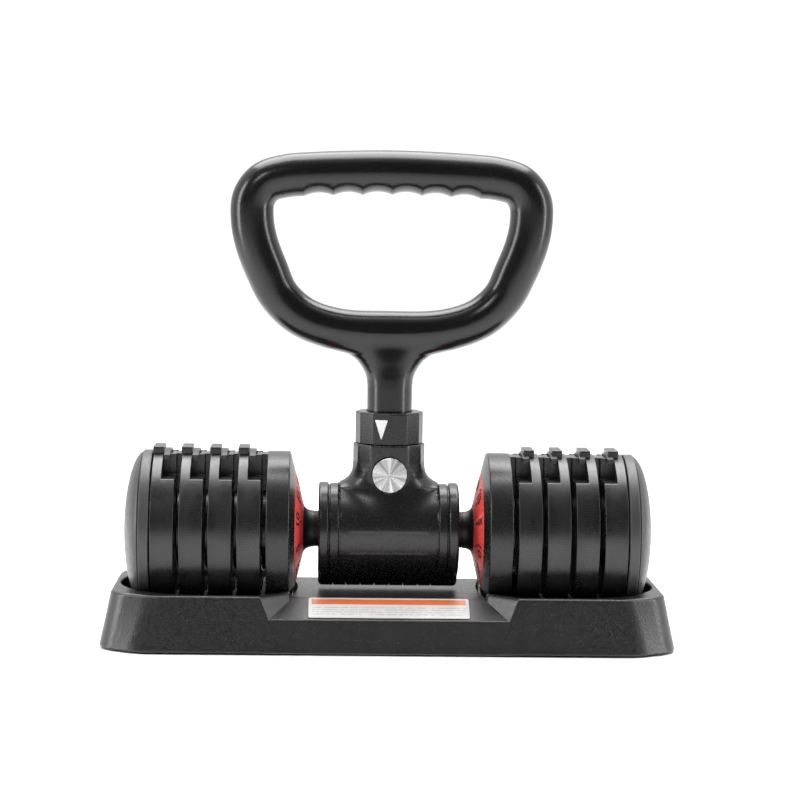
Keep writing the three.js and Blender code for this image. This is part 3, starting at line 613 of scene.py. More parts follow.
def spun_metal(name, centre):
    """Button face turned on a lathe: fine rings that stretch highlights into spokes, and spokes of reflected
    light painted into its colour.
    """
    look = Look(name, 0.27, metallic=1.0, Anisotropic=0.85)
    x, _, z = look.axes()
    u = look.math("SUBTRACT", x, centre[0] / 1000)
    v = look.math("SUBTRACT", z, centre[2] / 1000)
    spread = look.math("ADD", look.math("MULTIPLY", u, u), look.math("MULTIPLY", v, v))
    radius = look.math("SQRT", spread)
    wobble = look.math("MULTIPLY", look.noise(90, 2), 0.00025)

    def waves(distance, pitch):
        return look.math("SINE", look.math("MULTIPLY", distance, 2 * math.pi / pitch))

    rings = waves(look.math("ADD", radius, wobble), 0.00034)
    coarse = waves(radius, 0.0013)
    direction = look.node("CombineXYZ")
    look.link(look.math("DIVIDE", u, radius), direction.inputs[0])
    look.link(look.math("DIVIDE", v, radius), direction.inputs[1])
    # Spokes of reflected light are painted into the colour from noise round the centre: a painted reflection.
    spokes = look.node("TexNoise")
    look.link(direction.outputs[0], spokes.inputs["Vector"])
    for key, value in (("Scale", 1.9), ("Detail", 5.0), ("Roughness", 0.62)):
        spokes.inputs[key].default_value = value
    painted_sheen = look.scale(spokes.outputs["Fac"], 0.34, 0.64)
    painted_sheen = look.math("ADD", painted_sheen, look.scale(rings, -1, 1, -0.05, 0.05))
    look.colour(look.mix(painted_sheen, (0.20, 0.20, 0.205, 1), (0.80, 0.80, 0.81, 1)))
    look.rough(look.scale(coarse, -1, 1, 0.22, 0.32))
    look.bump(rings, 0.004)
    tangent = look.node("Tangent", direction_type="RADIAL", axis="Y")
    look.link(tangent.outputs[0], look.shader.inputs["Tangent"])
    return look.material


TRAY = speckled_plastic("tray_grain")
PAINT = cast_paint("plate_enamel")
LUG = moulded("lug_nylon", 0.010, 0.016, 0.33, grain=1100)
COVER = moulded("cover_plastic", 0.008, 0.012, 0.30, grain=1300, depth=0.005, spread=0.05)
DOME = moulded("dome_plastic", 0.042, 0.055, 0.42, grain=800, depth=0.015)
HUB = moulded("hub_plastic", 0.005, 0.008, 0.45)
SHELL = moulded("shell_plastic", 0.008, 0.012, 0.28, grain=1500, depth=0.003, spread=0.04)
HANDLE = moulded("handle_plastic", 0.003, 0.005, 0.23, grain=1700, depth=0.003, spread=0.04)
CRADLE = moulded("cradle_plastic", 0.006, 0.010, 0.5, grain=700)
DIAL = dial_plastic("dial_red")
STEEL = metal("machined_steel", 0.62, 0.3, stretch=(0.03, 1, 1))
SPRING = metal("spring_steel", 0.55, 0.28)
FOOT = rubber("foot_rubber")
LINER = rubber("liner_rubber", 0.010, 0.016)
KNURL = knurled("grip_knurl")
ARROW = white_print("arrow_white")
NUMERAL = moulded("numeral_black", 0.006, 0.010, 0.55)


# ---------------------------------------------------------------- tray

TROUGH_HALF, TROUGH_FLOOR = 62.0, 19.5
HUMP_TOP, HUMP_HALF, SLOPE_FOOT = RIM_TOP - 4, 47.5, 25.0
TOP_HALF, TOP_END = TRAY_FOOT - 8, TRAY_END - 8
TROUGH_END = TOP_END - 4
BLOCK_INNER = 72.4


def block_plan(share, depth):
    """Outline of an end block at a share of its height, moved inwards by depth."""
    low = [(-6.4, TRAY_FOOT - 11), (5.2, TRAY_FOOT)]
    low += [(TRAY_END - 29, TRAY_FOOT), (TRAY_END, TRAY_FOOT - 18)]
    top = [(0, HUMP_HALF), (21.6, TOP_HALF), (TOP_END - 32, TOP_HALF), (TOP_END, TOP_HALF - 15)]
    corners = []
    for i, (one, two) in enumerate(zip(low, top)):
        start = BLOCK_INNER if i < 2 else 0
        x = start + one[0] + (two[0] - one[0]) * share
        corners.append((x, one[1] + (two[1] - one[1]) * share))
    radii = (3, 2, 34, 22)
    front = [(x, -y, r) for (x, y), r in zip(corners, radii)]
    rear = [(x, y, r) for (x, y), r in zip(corners, radii)][::-1]
    return inset(fillet(front + rear, 0, steps=8), depth)


def end_block():
    round_top = 2.2
    rings = [(1, 1.6), (1.4, 0.7), (2.4, 0)]
    rings += [(z, 0) for z in np.linspace(6, RIM_TOP - round_top - 0.5, 8)]
    for a in np.linspace(0, math.pi / 2, 7):
        rings.append((RIM_TOP - round_top + round_top * math.sin(a), round_top * (1 - math.cos(a))))
    made = []
    for z, depth in rings:
        share = (z - 1) / (RIM_TOP - 1)
        made.append([(x, y, z) for x, y in block_plan(share, depth)])
    return loft("tray_body", made)


def trough_tool():
    inner = BLOCK_INNER + 6.6
    bend = TROUGH_END - 60
    outer = [(bend + 60 * u, TROUGH_HALF * v) for u, v in arc(1, -90, 90, 48)]
    outline = [(inner, 46), (inner, -46), (inner + 16.5, -TROUGH_HALF)]
    outline = counter_clockwise(outline + outer + [(inner + 16.5, TROUGH_HALF)])
    edge = 1.6
    levels = [(TROUGH_FLOOR, 3.0), (TROUGH_FLOOR + 0.9, 0.9), (TROUGH_FLOOR + 3, 0)]
    levels.append((RIM_TOP - edge, 0))
    for a in np.linspace(0.25, 1, 5) * math.pi / 2:
        levels.append((RIM_TOP - edge + edge * math.sin(a), -edge * (1 - math.cos(a))))
    levels.append((RIM_TOP + 3, -edge))
    return loft("tool", [[(x, y, z) for x, y in inset(outline, depth)] for z, depth in levels])


def cap_tool():
    wide = PLATE_RADIUS + 2.5
    profile = [(66.5, 0), (66.5, 43), (71, wide), (CAP_OUTER + 1.8, wide), (CAP_OUTER + 1.8, 0)]
    return lathe("tool", profile, 128, "X", (0, 0, AXIS))


def pocket_tools(x, y, columns, rows, top):
    rib = 1.25
    xs, ys = np.linspace(*x, columns + 1), np.linspace(*y, rows + 1)
    return [
        brick((xs[i] + rib, ys[j] + rib, -1), (xs[i + 1] - rib, ys[j + 1] - rib, top))
        for i in range(columns)
        for j in range(rows)
    ]


def build_tray():
    right = end_block()
    left = copy_of(right, "tool", HALF_TURN)
    wall = lambda z: TRAY_FOOT - 0.05 - 8 * z / RIM_TOP
    side = [(-wall(1), 1, 0.8), (-wall(SLOPE_FOOT), SLOPE_FOOT, 2.2), (-HUMP_HALF, HUMP_TOP, 2.0)]
    profile = side + [(-y, z, r) for y, z, r in side[::-1]]
    end = BLOCK_INNER + 17.6
    hump = prism("tool", fillet(profile, 0), "X", -end, end)
    tray = add(right, left, hump)
    tools = [trough_tool(), cap_tool()]
    tools += [copy_of(one, "tool", HALF_TURN) for one in tools]
    cut(tray, *tools)
    under = []
    for sign in (1, -1):
        x = sorted((sign * (BLOCK_INNER + 11.6), sign * (TRAY_END - 15)))
        under += pocket_tools(x, (-59, 59), 4, 3, TROUGH_FLOOR - 4)
    x = (10.4 - BLOCK_INNER, BLOCK_INNER - 10.4)
    under += pocket_tools(x, (-HUMP_HALF + 3, HUMP_HALF - 3), 4, 3, HUMP_TOP - 4)
    for sign in (1, -1):
        y = sorted((sign * (HUMP_HALF + 1), sign * (HUMP_HALF + 22)))
        under += pocket_tools(x, y, 4, 1, SLOPE_FOOT - 4)
    feet = [middle(f"foot_{i}") for i in (1, 2, 3, 4)]
    under += [cylinder("Z", -1, 5, 6.3, (p[0], p[1], 0)) for p in feet]
    cut(tray, *under)
    place(tray, "tray", TRAY, "base_tray", slot="tray_plastic", angle=30)
    for i, p in enumerate(feet):
        profile = [(0, 0, 0), (0, 4.6, 0.5), (0.7, 6.0, 0.5), (4.7, 6.0, 0.4), (4.7, 0, 0)]
        foot = lathe(f"foot_pad_{i + 1}", fillet(profile, 0, False, 4), 64, "Z", (p[0], p[1], 0))
        place(foot, "tray", FOOT, f"foot_{i + 1}", slot="foot_rubber")


def build_label():
    low, high = box("label")
    rise, run = high[2] - low[2], high[1] - low[1]
    tilt = math.atan2(HUMP_TOP - SLOPE_FOOT, TRAY_FOOT - 0.05 - 8 * SLOPE_FOOT / RIM_TOP - HUMP_HALF)
    length = (run - 0.5 * math.sin(tilt)) / math.cos(tilt)
    half = high[0]
    outline = fillet([(-half, -length), (half, -length), (half, 0), (-half, 0)], 1.5, steps=6)
    sheet = prism("label_film", outline, "Z", 0, 0.5, 0.0, 0.12, 2)
    top = Vector((0, high[1], high[2] - 0.5 * math.cos(tilt))) / 1000
    sheet.data.transform(Matrix.Translation(top) @ Matrix.Rotation(tilt, 4, "X"))
    look = printed_label("label_print", low[1], high[1])
    place(sheet, "tray", look, "label", slot="label_paper")


# ---------------------------------------------------------------- plates


def rail_shape():
    """The tapered rail on a plate's flange, with the round pad about its bore."""
    reach = SPACING + 4.2
    neck, head = 9.5, 11.5
    outline = [(-0.5, -neck), (SPACING, -neck), (reach, -head)]
    outline += [(reach, head), (SPACING, neck), (-0.5, neck)]
    top = math.sqrt(PLATE_RADIUS**2 - head**2) - 0.3
    rail = prism("rail", fillet(outline, 0.4, steps=2), "Z", 16, top, 0.4, 0.6, 3)
    reach = SPACING - 0.6
    pad = [(-0.5, BORE), (-0.5, PAD_RADIUS), (reach - 0.4, PAD_RADIUS)]
    pad += [(reach, PAD_RADIUS - 0.4), (reach, BORE), (-0.5, BORE)]
    return add(rail, lathe("tool", pad, 96))


def plate_shape():
    """A plate stands on x = 0 with its notched side; the flange is a full disc."""
    turn = math.degrees(math.asin(NOTCH_LEVEL / PLATE_RADIUS))
    crown = math.degrees(math.acos(CROWN_HALF / PLATE_RADIUS))
    lower = arc(PLATE_RADIUS, 180 - turn + 1.2, 360 + turn - 1.2, 132)
    ledge = math.sqrt(PLATE_RADIUS**2 - NOTCH_LEVEL**2)
    notch = [(ledge, NOTCH_LEVEL, 1.6), (CROWN_HALF, NOTCH_LEVEL, 0.8)]
    tip = (CROWN_HALF, PLATE_RADIUS * math.sin(math.radians(crown)), 0.8)
    crest = arc(PLATE_RADIUS, crown + 1, 179 - crown, 14)
    outline = [(*p, 0) for p in lower] + notch + [tip] + [(*p, 0) for p in crest]
    outline += [(-y, z, r) for y, z, r in [tip] + notch[::-1]]
    body = prism("plate", fillet(outline, 0, steps=4), "X", 0, SHOULDER + 0.6, 0.6, 0, 4)
    flange_profile = [
        (SHOULDER, 0, 0),
        (SHOULDER, PLATE_RADIUS, 0.5),
        (PLATE_THICKNESS, PLATE_RADIUS, 0.6),
        (PLATE_THICKNESS, 0, 0),
    ]
    flange = lathe("tool", fillet(flange_profile, 0, False, 5), 180)
    neck, head = 9.9, 11.9
    groove = [(-1, -neck), (0, -neck), (4.6, -head), (4.6, head), (0, neck), (-1, neck)]
    tools = [
        prism("tool", groove, "Z", 15, PLATE_RADIUS + 5),
        cylinder("X", -1, PLATE_THICKNESS + 1, BORE),
    ]
    return cut(add(body, flange), *tools)


def crown_strip(half, lip):
    """Outline over the crown, from just clear of the disc to a skin above it."""
    clear = PLATE_RADIUS + GAP
    outer = clear + 1.4
    angle = lambda radius, at: math.degrees(math.acos(at / radius))
    over = arc(outer, angle(outer, half), 180 - angle(outer, half), 12)
    if not lip:
        return over + arc(clear, 180 - angle(clear, half), angle(clear, half), 12)
    inside = CROWN_HALF + GAP
    start = angle(clear, inside)
    level = math.sqrt(clear**2 - half**2) - 2.2
    under = arc(clear, 180 - start, start, 12)
    return over + [(-half, level), (-inside, level)] + under + [(inside, level), (half, level)]


def lug_shape(bar_middle):
    tongue = (SHOULDER - 5, SHOULDER - GAP)
    bar = (bar_middle - 4, bar_middle + 4)
    skirt = (min(tongue[0], bar[0]), max(tongue[1], bar[1]))
    height = PLATE_RADIUS + 4
    base = [(*p, 0) for p in arc(PLATE_RADIUS + GAP, 180 - 77.1, 77.1, 12)]
    outline = fillet(base + [(CROWN_HALF, height, 1.6), (-CROWN_HALF, height, 1.6)], 0)
    lug = prism("lug", outline, "X", bar[0], bar[1], 0.8, 0.8)
    skin = prism("tool", crown_strip(CROWN_HALF - 0.2, False), "X", skirt[0], skirt[1], 0.3, 0.3, 2)
    lip = prism("tool", crown_strip(19.5, True), "X", tongue[0], tongue[1], 0.45, 0.45, 2)
    return add(lug, skin, lip)


def build_plates():
    plain, rail = plate_shape(), rail_shape()
    railed = add(copy_of(plain, "railed"), shift(copy_of(rail, "tool"), x=PLATE_THICKNESS))
    lugs = {"right": lug_shape(SHOULDER), "left": lug_shape(SHOULDER + 4)}
    for i, start in enumerate(PLATE_STARTS, 1):
        rise = Matrix.Translation((start / 1000, 0, AXIS / 1000))
        for side in ("right", "left"):
            matrix = rise if side == "right" else HALF_TURN @ rise
            body = f"{side}_plate_{i}"
            plate = copy_of(plain if i == 4 else railed, f"cast_plate_{side}_{i}", matrix)
            place(plate, body, PAINT, f"plate_{side}_{i}", slot="plate_iron")
            lug = copy_of(lugs[side], f"lift_lug_{side}_{i}", matrix)
            place(lug, body, LUG, f"lug_{side}_{i}", slot="lug_plastic")
    for spare in (plain, railed, *lugs.values()):
        bpy.data.objects.remove(spare)
    radius = PLATE_RADIUS
    ring = [(RING_START, 0, 0), (RING_START, radius, 0.9), (RING_END, radius, 0.9), (RING_END, 0, 0)]
    made = lathe("end_band", fillet(ring, 0, False), 180, "X", (0, 0, AXIS))
    both_sides(made, "end_band", "{}_plate_4", DOME, "end_ring_{}", "cover_plastic")
    start = RING_END + GAP
    height = DOME_END - start
    dome = [(start + 0.1, 0), (start + 0.1, radius - 2), (start + 0.8, radius - 1.6)]
    for v in np.cos(np.radians(np.linspace(6, 90, 36))):
        lift = height * math.sqrt(1 - v * v) ** 1.1
        dome.append((max(start + lift, start + 0.8), (radius - 1.6) * v))
    dome[-1] = (DOME_END, 0)
    made = lathe("end_dome", dome, 180, "X", (0, 0, AXIS))
    both_sides(made, "end_dome", "{}_plate_4", DOME, "end_cover_{}", "cover_plastic")
    return rail


# ---------------------------------------------------------------- core, dials and grip

DIAL_LOW, DIAL_HIGH = (float(c[0]) for c in box("dial_ring_right"))
DIAL_THICKNESS, HUB_RIM, DIAL_RADIUS = 2.5, 18.5, 41.2
DIAL_INSIDE = HUB_RIM + GAP
DIAL_RISE = DIAL_HIGH - DIAL_THICKNESS - DIAL_LOW
SLANT = math.atan2(DIAL_RISE, DIAL_RADIUS - DIAL_INSIDE)
MARK_FOOT, MARK_TOP = 0.02, 0.18  # height of the dial's marks over its face


def on_dial(radius, turn, proud):
    """A point over the right-hand dial's face; turn is the angle round X from the front."""
    along = DIAL_LOW + (radius - DIAL_INSIDE) * math.tan(SLANT) - proud * math.cos(SLANT)
    radius += proud * math.sin(SLANT)
    return (along, -radius * math.cos(turn), AXIS + radius * math.sin(turn))


def numeral(text, size, radius, turn, name):
    """Raised figures bent onto the dial, with their tops outwards."""
    curve = bpy.data.curves.new(name, "FONT")
    curve.body, curve.size, curve.align_x = text, size, "CENTER"
    curve.extrude, curve.resolution_u, curve.offset = 0.5, 3, 0.3
    written = linked(name, curve)
    graph = bpy.context.evaluated_depsgraph_get()
    mesh = bpy.data.meshes.new_from_object(written.evaluated_get(graph), depsgraph=graph)
    bpy.data.objects.remove(written)
    for vertex in mesh.vertices:
        u, v, w = vertex.co
        proud = MARK_FOOT + 0.16 * (w > 0)
        vertex.co = Vector(on_dial(radius + v, turn - u / radius, proud)) / 1000
    return welded(name, mesh)


def tick(turn, inner, outer, width):
    """A short radial stroke on the dial."""
    rings = []
    for radius in (inner, outer):
        half = width / 2 / radius
        corners = [(-half, MARK_FOOT), (half, MARK_FOOT), (half, MARK_TOP), (-half, MARK_TOP)]
        rings.append([on_dial(radius, turn + a, proud) for a, proud in corners])
    return loft("tick", rings)


def merge(name, things):
    """Puts separate small marks into one piece."""
    shape = bmesh.new()
    for one in things:
        shape.from_mesh(one.data)
        bpy.data.objects.remove(one)
    mesh = bpy.data.meshes.new(name)
    shape.to_mesh(mesh)
    shape.free()
    return linked(name, mesh)


def build_core(rail):
    cap_lip = DIAL_HIGH - DIAL_THICKNESS + 0.2
    shoulder = cap_lip + 4.2
    back = lambda radius: DIAL_LOW + (radius - DIAL_INSIDE) * math.tan(SLANT) + DIAL_THICKNESS + GAP
    profile = [
        (back(22.5), 9.9, 0),
        (back(22.5), 22.5, 0.4),
        (back(41.6), 41.6, 0.3),
        (cap_lip, 42.0, 0.8),
        (shoulder, PLATE_RADIUS, 1.6),
        (CAP_OUTER, PLATE_RADIUS, 1.0),
        (CAP_OUTER, 9.9, 0),
    ]
    profile = fillet(profile, 0, False, 5)
    cap = lathe("core_cap", profile + profile[:1], 180)
    add(cap, shift(rail, x=CAP_OUTER))
    shift(cap, z=AXIS)
    both_sides(cap, "core_cap", "core", COVER, "inner_cap_{}", "cover_plastic")

    face = [(DIAL_LOW, DIAL_INSIDE, 0.2), (DIAL_LOW + DIAL_THICKNESS, DIAL_INSIDE, 0.2)]
    face += [(DIAL_HIGH, DIAL_RADIUS, 0.4), (DIAL_HIGH - DIAL_THICKNESS, DIAL_RADIUS, 0.4)]
    face = fillet(face, 0, True, 3)
    dial = lathe("dial_face", face + face[:1], 180, "X", (0, 0, AXIS))
    both_sides(dial, "dial_face", "grip", DIAL, "dial_ring_{}", "dial_red")
    marks = []
    for i in range(10):
        turn = math.radians(18 - 36 * i)
        marks.append(numeral(str(5 + 5 * (i % 5)), 11, 30.2, turn, "numeral"))
        marks.append(tick(turn, 25.2, 28.6, 1.6))
    for i in range(50):
        marks.append(tick(math.radians(7.2 * i), 38.9, 39.9, 0.5))
    right = merge("dial_marks_right", marks)
    left = copy_of(right, "dial_marks_left", HALF_TURN)
    for one in (right, left):
        place(one, "grip", NUMERAL, slot="hub_plastic")

    straight_end = HOUSING_HALF + 3.9
    flare_end = straight_end + 7
    end = flare_end + 2.6
    start = GRIP_HALF + GAP
    outside = [(start, 9.9, 0), (start, 13.7, 0.3)]
    x = HOUSING_HALF + 0.4
    for _ in range(3):
        outside += [(x, 13.7, 0.1), (x + 0.15, 13.15, 0.1), (x + 0.55, 13.15, 0.1), (x + 0.7, 13.7, 0.1)]
        x += 1.2
    for t in np.radians(np.linspace(10, 80, 9)):
        flare = HUB_RIM - 13.7
        outside.append((straight_end + 7 * math.sin(t), 13.7 + flare * (1 - math.cos(t)), 0))
    outside += [(flare_end, HUB_RIM, 0.5), (end, HUB_RIM, 0.5), (end, 9.9, 0)]
    outside = fillet(outside, 0, False, 6)
    hub = lathe("grip_flare", outside + outside[:1], 128, "X", (0, 0, AXIS))
    both_sides(hub, "grip_flare", "grip", HUB, "grip_hub_{}", "hub_plastic")

    wall = [(-GRIP_HALF, 13.3, 0.2), (-GRIP_HALF, 16, 0.8)]
    wall += [(GRIP_HALF, 16, 0.8), (GRIP_HALF, 13.3, 0.2)]
    grip = fillet(wall, 0)
    tube = lathe("grip_cover", grip + grip[:1], 128, "X", (0, 0, AXIS))
    place(tube, "grip", KNURL, "grip_sleeve", slot="liner_rubber")

    washer = middle("wave_washer_right")
    rings = []
    for inner, level in ((10.3, -0.28), (17.0, -0.28), (17.0, 0.28), (10.3, 0.28)):
        ring = []
        for k in range(120):
            a = 2 * math.pi * k / 120
            wave = 0.07 * math.sin(3 * a)
            ring.append((washer[0] + level + wave, inner * math.cos(a), AXIS + inner * math.sin(a)))
        rings.append(ring)
    wavy = loft("wavy_washer", rings, endless=True)
    both_sides(wavy, "wavy_washer", "core", SPRING, "wave_washer_{}", "steel")

    low, high = box("rod_right")
    section = [(0.2, -7.4973, 0.5)] + [(*p, 0) for p in arc(7.5, -84, 84, 40)] + [(0.2, 7.4973, 0.5)]
    rod = prism("lock_rod", fillet(section, 0, steps=3), "X", low[0], high[0], 0.9, 1.2, 4)
    pin = cylinder("Y", 5, 12.7, 1.8, (float(low[0]) + 28, 0, 0), 48, 0.3)
    shift(add(rod, pin), z=AXIS)
    left = copy_of(rod, "lock_rod_left", HALF_TURN)
    rod.name = "lock_rod_right"
    place(rod, "right_rod", STEEL, "rod_right", slot="steel")
    place(left, "left_rod", STEEL, "rod_left", slot="steel")


# ---------------------------------------------------------------- kettlebell handle's housing

BARREL, NECK, KNUCKLE = 33.2, 26.9, 6.0
BODY_HALF = HOUSING_HALF - 16.1
FLARE_Z = np.array([19, 33, 36.5, 40, 44, 48, 52, NECK_TOP])
FLARE_X = np.array([27, 37.6, 34.6, 31.4, 28.9, 27.5, NECK, NECK])


def twelve_sided(x, y, apothem, soft):
    """Distance outside a prism with twelve sides and a corner at the front."""
    result = None
    for k in range(12):
        a = math.radians(-75 + 30 * k)
        side = x * math.cos(a) + y * math.sin(a) - apothem
        result = side if result is None else smooth_max(result, side, soft)
    return result


def housing_field(points):
    x, y, z = points[:, 0], points[:, 1], points[:, 2]
    tube = np.hypot(y, z) - BARREL
    panel = ramp(-np.abs(x), -29.6, -28.6) * ramp(z, -14.6, -13.6) * ramp(-z, -2.6, -1.6)
    tube = tube + 0.18 * panel * (y < 0)
    tube = smooth_max(tube, np.abs(x) - BODY_HALF, 0.6)
    width = np.interp(z, FLARE_Z, FLARE_X)
    soft = 0.9 + 7 * (1 - ramp(z, 34, 54))
    neck = twelve_sided(x * NECK / width, y, NECK * math.cos(math.pi / 12), soft)
    neck = smooth_max(neck, z - NECK_TOP, 0.9)
    neck = np.maximum(neck, 8 - z)
    return smooth_min(tube, neck, 11.0)


def housing_outer():
    """The barrel's smooth middle with its neck, joined to the turned bands at its ends."""
    tube = cylinder("X", -BODY_HALF, BODY_HALF, BARREL, name="shell")
    post = [
        [(s * u, v, z) for u, v in arc(NECK, 0, 360, 24)[:-1]]
        for z, s in ((8, 1), (30, 1.35), (45, 1.05), (NECK_TOP, 1))
    ]
    middle_part = remeshed(add(tube, loft("tool", post)), 0.95)
    project(middle_part, housing_field)
    end = HOUSING_HALF
    half = [
        (end, 0, 0),
        (end, 34.2, 1.2),
        (end - 1.6, 35.2, 2.6),
        (end - 7.0, 35.2, 1.6),
        (end - 7.6, 33.3, 0.4),
        (end - 8.3, 33.3, 0.4),
        (end - 8.8, 34.4, 1.0),
        (end - 14.6, 34.4, 1.2),
        (end - 15.3, 33.0, 0.3),
        (end - 16.4, 32.7, 0),
    ]
    half = fillet(half, 0, False, 5)
    profile = half + [(-x, r) for x, r in half[::-1]]
    bands = lathe("tool", profile, 180)
    lean = math.acos((BARREL - KNUCKLE) / -HINGE)
    outline = []
    for radius, level in ((BARREL, 0), (KNUCKLE, HINGE)):
        outline.append((-radius * math.sin(lean), level - radius * math.cos(lean), 0))
    outline += [(-y, z, 0) for y, z, _ in outline[::-1]]
    web = prism("tool", fillet(outline, 0), "X", 0.1 - end, end - 0.1, 2.4, 2.4, 6)
    return add(middle_part, bands, web)


KNUCKLES = [-1, -0.785, -0.596, -0.388, -0.19, 0.024, 0.225, 0.437, 0.625, 1]


def knuckle_row(front, radius, play):
    made = []
    for i in range(0 if front else 1, 9, 2):
        low = KNUCKLES[i] * (HOUSING_HALF - 0.1) + 0.15 - play
        high = KNUCKLES[i + 1] * (HOUSING_HALF - 0.1) - 0.15 + play
        corner = [(low, 0, 0), (low, radius, 0.7), (high, radius, 0.7), (high, 0, 0)]
        if not play and i == 0:
            corner[1] = (low, radius, 3.2)
        if not play and i == 8:
            corner[2] = (high, radius, 3.2)
        made.append(lathe("tool", fillet(corner, 0, False, 5), 48, "X", (0, 0, HINGE)))
    return made


def shell(outer, front):
    far = 100
    name = "shell_front" if front else "shell_rear"
    low = (-far, -far if front else 0.15, -far)
    high = (far, -0.15 if front else far, far)
    made = combine(copy_of(outer, name), [brick(low, high)], "INTERSECT")
    level = BUTTON[2] - AXIS
    screw = float(middle("stem_screw")[2]) - AXIS
    end = GRIP_HALF + 0.7
    cavity = [(-end, 0, 0), (-end, 20.0, 0.6), (end, 20.0, 0.6), (end, 0, 0)]
    tools = [
        lathe("tool", fillet(cavity, 0, False, 3), 96),
        cylinder("X", -far, far, 14.3, sides=96),
        cylinder("Z", 29.5, far, 17.2, sides=96),
        cylinder("Y", -far, -20.5, BUTTON_RADIUS + 0.5, (0, 0, level), 96),
        cylinder("Y", -far, 0, 4.1, (0, 0, level)),
        cylinder("Y", 0, far, 2.4, (0, 0, screw)),
        cylinder("Y", 22.5, far, 4.8, (0, 0, screw)),
    ]
    cut(made, *tools, *knuckle_row(not front, KNUCKLE + 0.4, 0.3))
    add(made, *knuckle_row(front, KNUCKLE, 0))
    cut(made, cylinder("X", -far, far, 1.9, (0, 0, HINGE), 32))
    shift(made, z=AXIS)
    body = "front_shell" if front else "kettlebell_handle"
    node = "front_shell" if front else "rear_shell"
    place(made, body, SHELL, node, slot="shell_plastic", angle=42)


def build_collar():
    points = [(25.2 * math.sin(a), -25.2 * math.cos(a)) for a in np.radians(np.arange(0, 360, 30))]
    ring = prism("lock_ring", fillet(points, 2.2, steps=5), "Z", NECK_TOP + GAP, COLLAR_TOP, 0.5, 1.6, 5)
    well = [(NECK_TOP - 1, 0, 0), (NECK_TOP - 1, 17.1, 0), (COLLAR_TOP - 1.4, 17.1, 0.4)]
    well += [(COLLAR_TOP + 0.4, 18.6, 0), (COLLAR_TOP + 0.4, 0, 0)]
    shift(cut(ring, lathe("tool", fillet(well, 0, False), 128, "Z")), z=AXIS)
    place(ring, "lock_collar", SHELL, "lock_collar", slot="shell_plastic")
    face = 25.2 * math.cos(math.pi / 12) + GAP
    low = NECK_TOP + GAP + 3.6
    outline = fillet([(0, low), (4.85, low + 15), (-4.85, low + 15)], 0.35, steps=3)
    pointer = prism("pointer", outline, "Y", -face - 0.4, -face, 0.15, 0, 2)
    shift(pointer, z=AXIS)
    pointer.data.transform(Matrix.Rotation(-math.pi / 12, 4, "Z"))
    place(pointer, "lock_collar", ARROW, "collar_arrow", slot="arrow_white")


def build_lock_sign():
    """A small raised padlock beside the button, as a sign for the latch."""
    face = NECK * math.cos(math.pi / 12)
    level = NECK_TOP - 5.6
    body = fillet([(-3.6, level - 2.2), (0.0, level - 2.2), (0.0, level + 0.5), (-3.6, level + 0.5)], 0.4)
    centre = (-1.8, level + 0.5)
    bow = arc(1.5, -20, 200, 20, centre) + arc(0.9, 200, -20, 20, centre)
    sign = prism("lock_sign", body, "Y", -face - 0.28, -face + 0.15, 0.1, 0, 2)
    add(sign, prism("tool", bow, "Y", -face - 0.28, -face + 0.15, 0.1, 0, 2))
    shift(sign, z=AXIS)
    sign.data.transform(Matrix.Rotation(-math.pi / 12, 4, "Z"))
    place(sign, "front_shell", SHELL, slot="shell_plastic")


def build_button():
    low, high = box("release_button")
    face, back = low[1], high[1]
    radius = BUTTON_RADIUS
    profile = [(face + 0.12, 0, 0), (face, 1.2, 0.5), (face, radius - 0.5, 0.3)]
    profile += [(face + 0.6, radius, 0.3), (back, radius, 0.3), (back, 0, 0)]
    disc = lathe("push_button", fillet(profile, 0, False, 5), 160, "Y", (0, 0, BUTTON[2]))
    place(disc, "release_button", spun_metal("spun_aluminium", BUTTON), "release_button", slot="button_aluminium")
    low, high = box("latch_plunger")
    centre = (0, 0, BUTTON[2])
    bolt = cylinder("Y", low[1], high[1], 3.6, centre, 64, 0.5, "latch_bolt")
    place(bolt, "release_button", STEEL, "latch_plunger", slot="steel")
    low, high = box("button_spring")
    wire, turns, coil, press = 0.45, 2.5, 6.0, 3.0
    length = high[1] - low[1]
    rings = []
    for t in np.linspace(0, 1, 121):
        a = 2 * math.pi * turns * t
        out = np.array([math.cos(a), 0, math.sin(a)])
        centre = out * coil + np.array([0, low[1] + wire + (length - 2 * wire) * t, BUTTON[2]])
        ring = []
        for b in np.linspace(0, 2 * math.pi, 13)[:-1]:
            ring.append(tuple(centre + wire * (math.cos(b) * out + np.array([0, math.sin(b), 0]))))
        rings.append(ring)
    spring = loft("button_coil", rings)
    place(spring, "front_shell", SPRING, "button_spring", slot="steel")
    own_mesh(spring)


def build_small_parts():
    low, high = box("hinge_pin")
    pin = cylinder("X", low[0], high[0], 1.6, (0, 0, AXIS + HINGE), 48, 0.4, "hinge_rod")
    place(pin, "kettlebell_handle", STEEL, "hinge_pin", slot="steel")
    low, high = box("stem_screw")
    seat = high[1] - 3
    profile = [(low[1], 0, 0), (low[1], 1.5, 0.2), (low[1] + 0.6, 2.1, 0)]
    for y in np.arange(low[1] + 0.8, seat - 2, 0.9):
        profile += [(y, 2.1, 0), (y + 0.45, 1.75, 0)]
    profile += [(seat, 2.1, 0), (seat, 4.5, 0.3), (seat + 3, 4.5, 0.5)]
    profile += [(seat + 3, 2, 0), (seat + 1.2, 2, 0), (seat + 1.2, 0, 0)]
    screw = lathe("set_screw", fillet(profile, 0, False, 4), 48, "Y", (0, 0, float(middle("stem_screw")[2])))
    place(screw, "kettlebell_handle", STEEL, "stem_screw", slot="steel")


# ---------------------------------------------------------------- D-handle

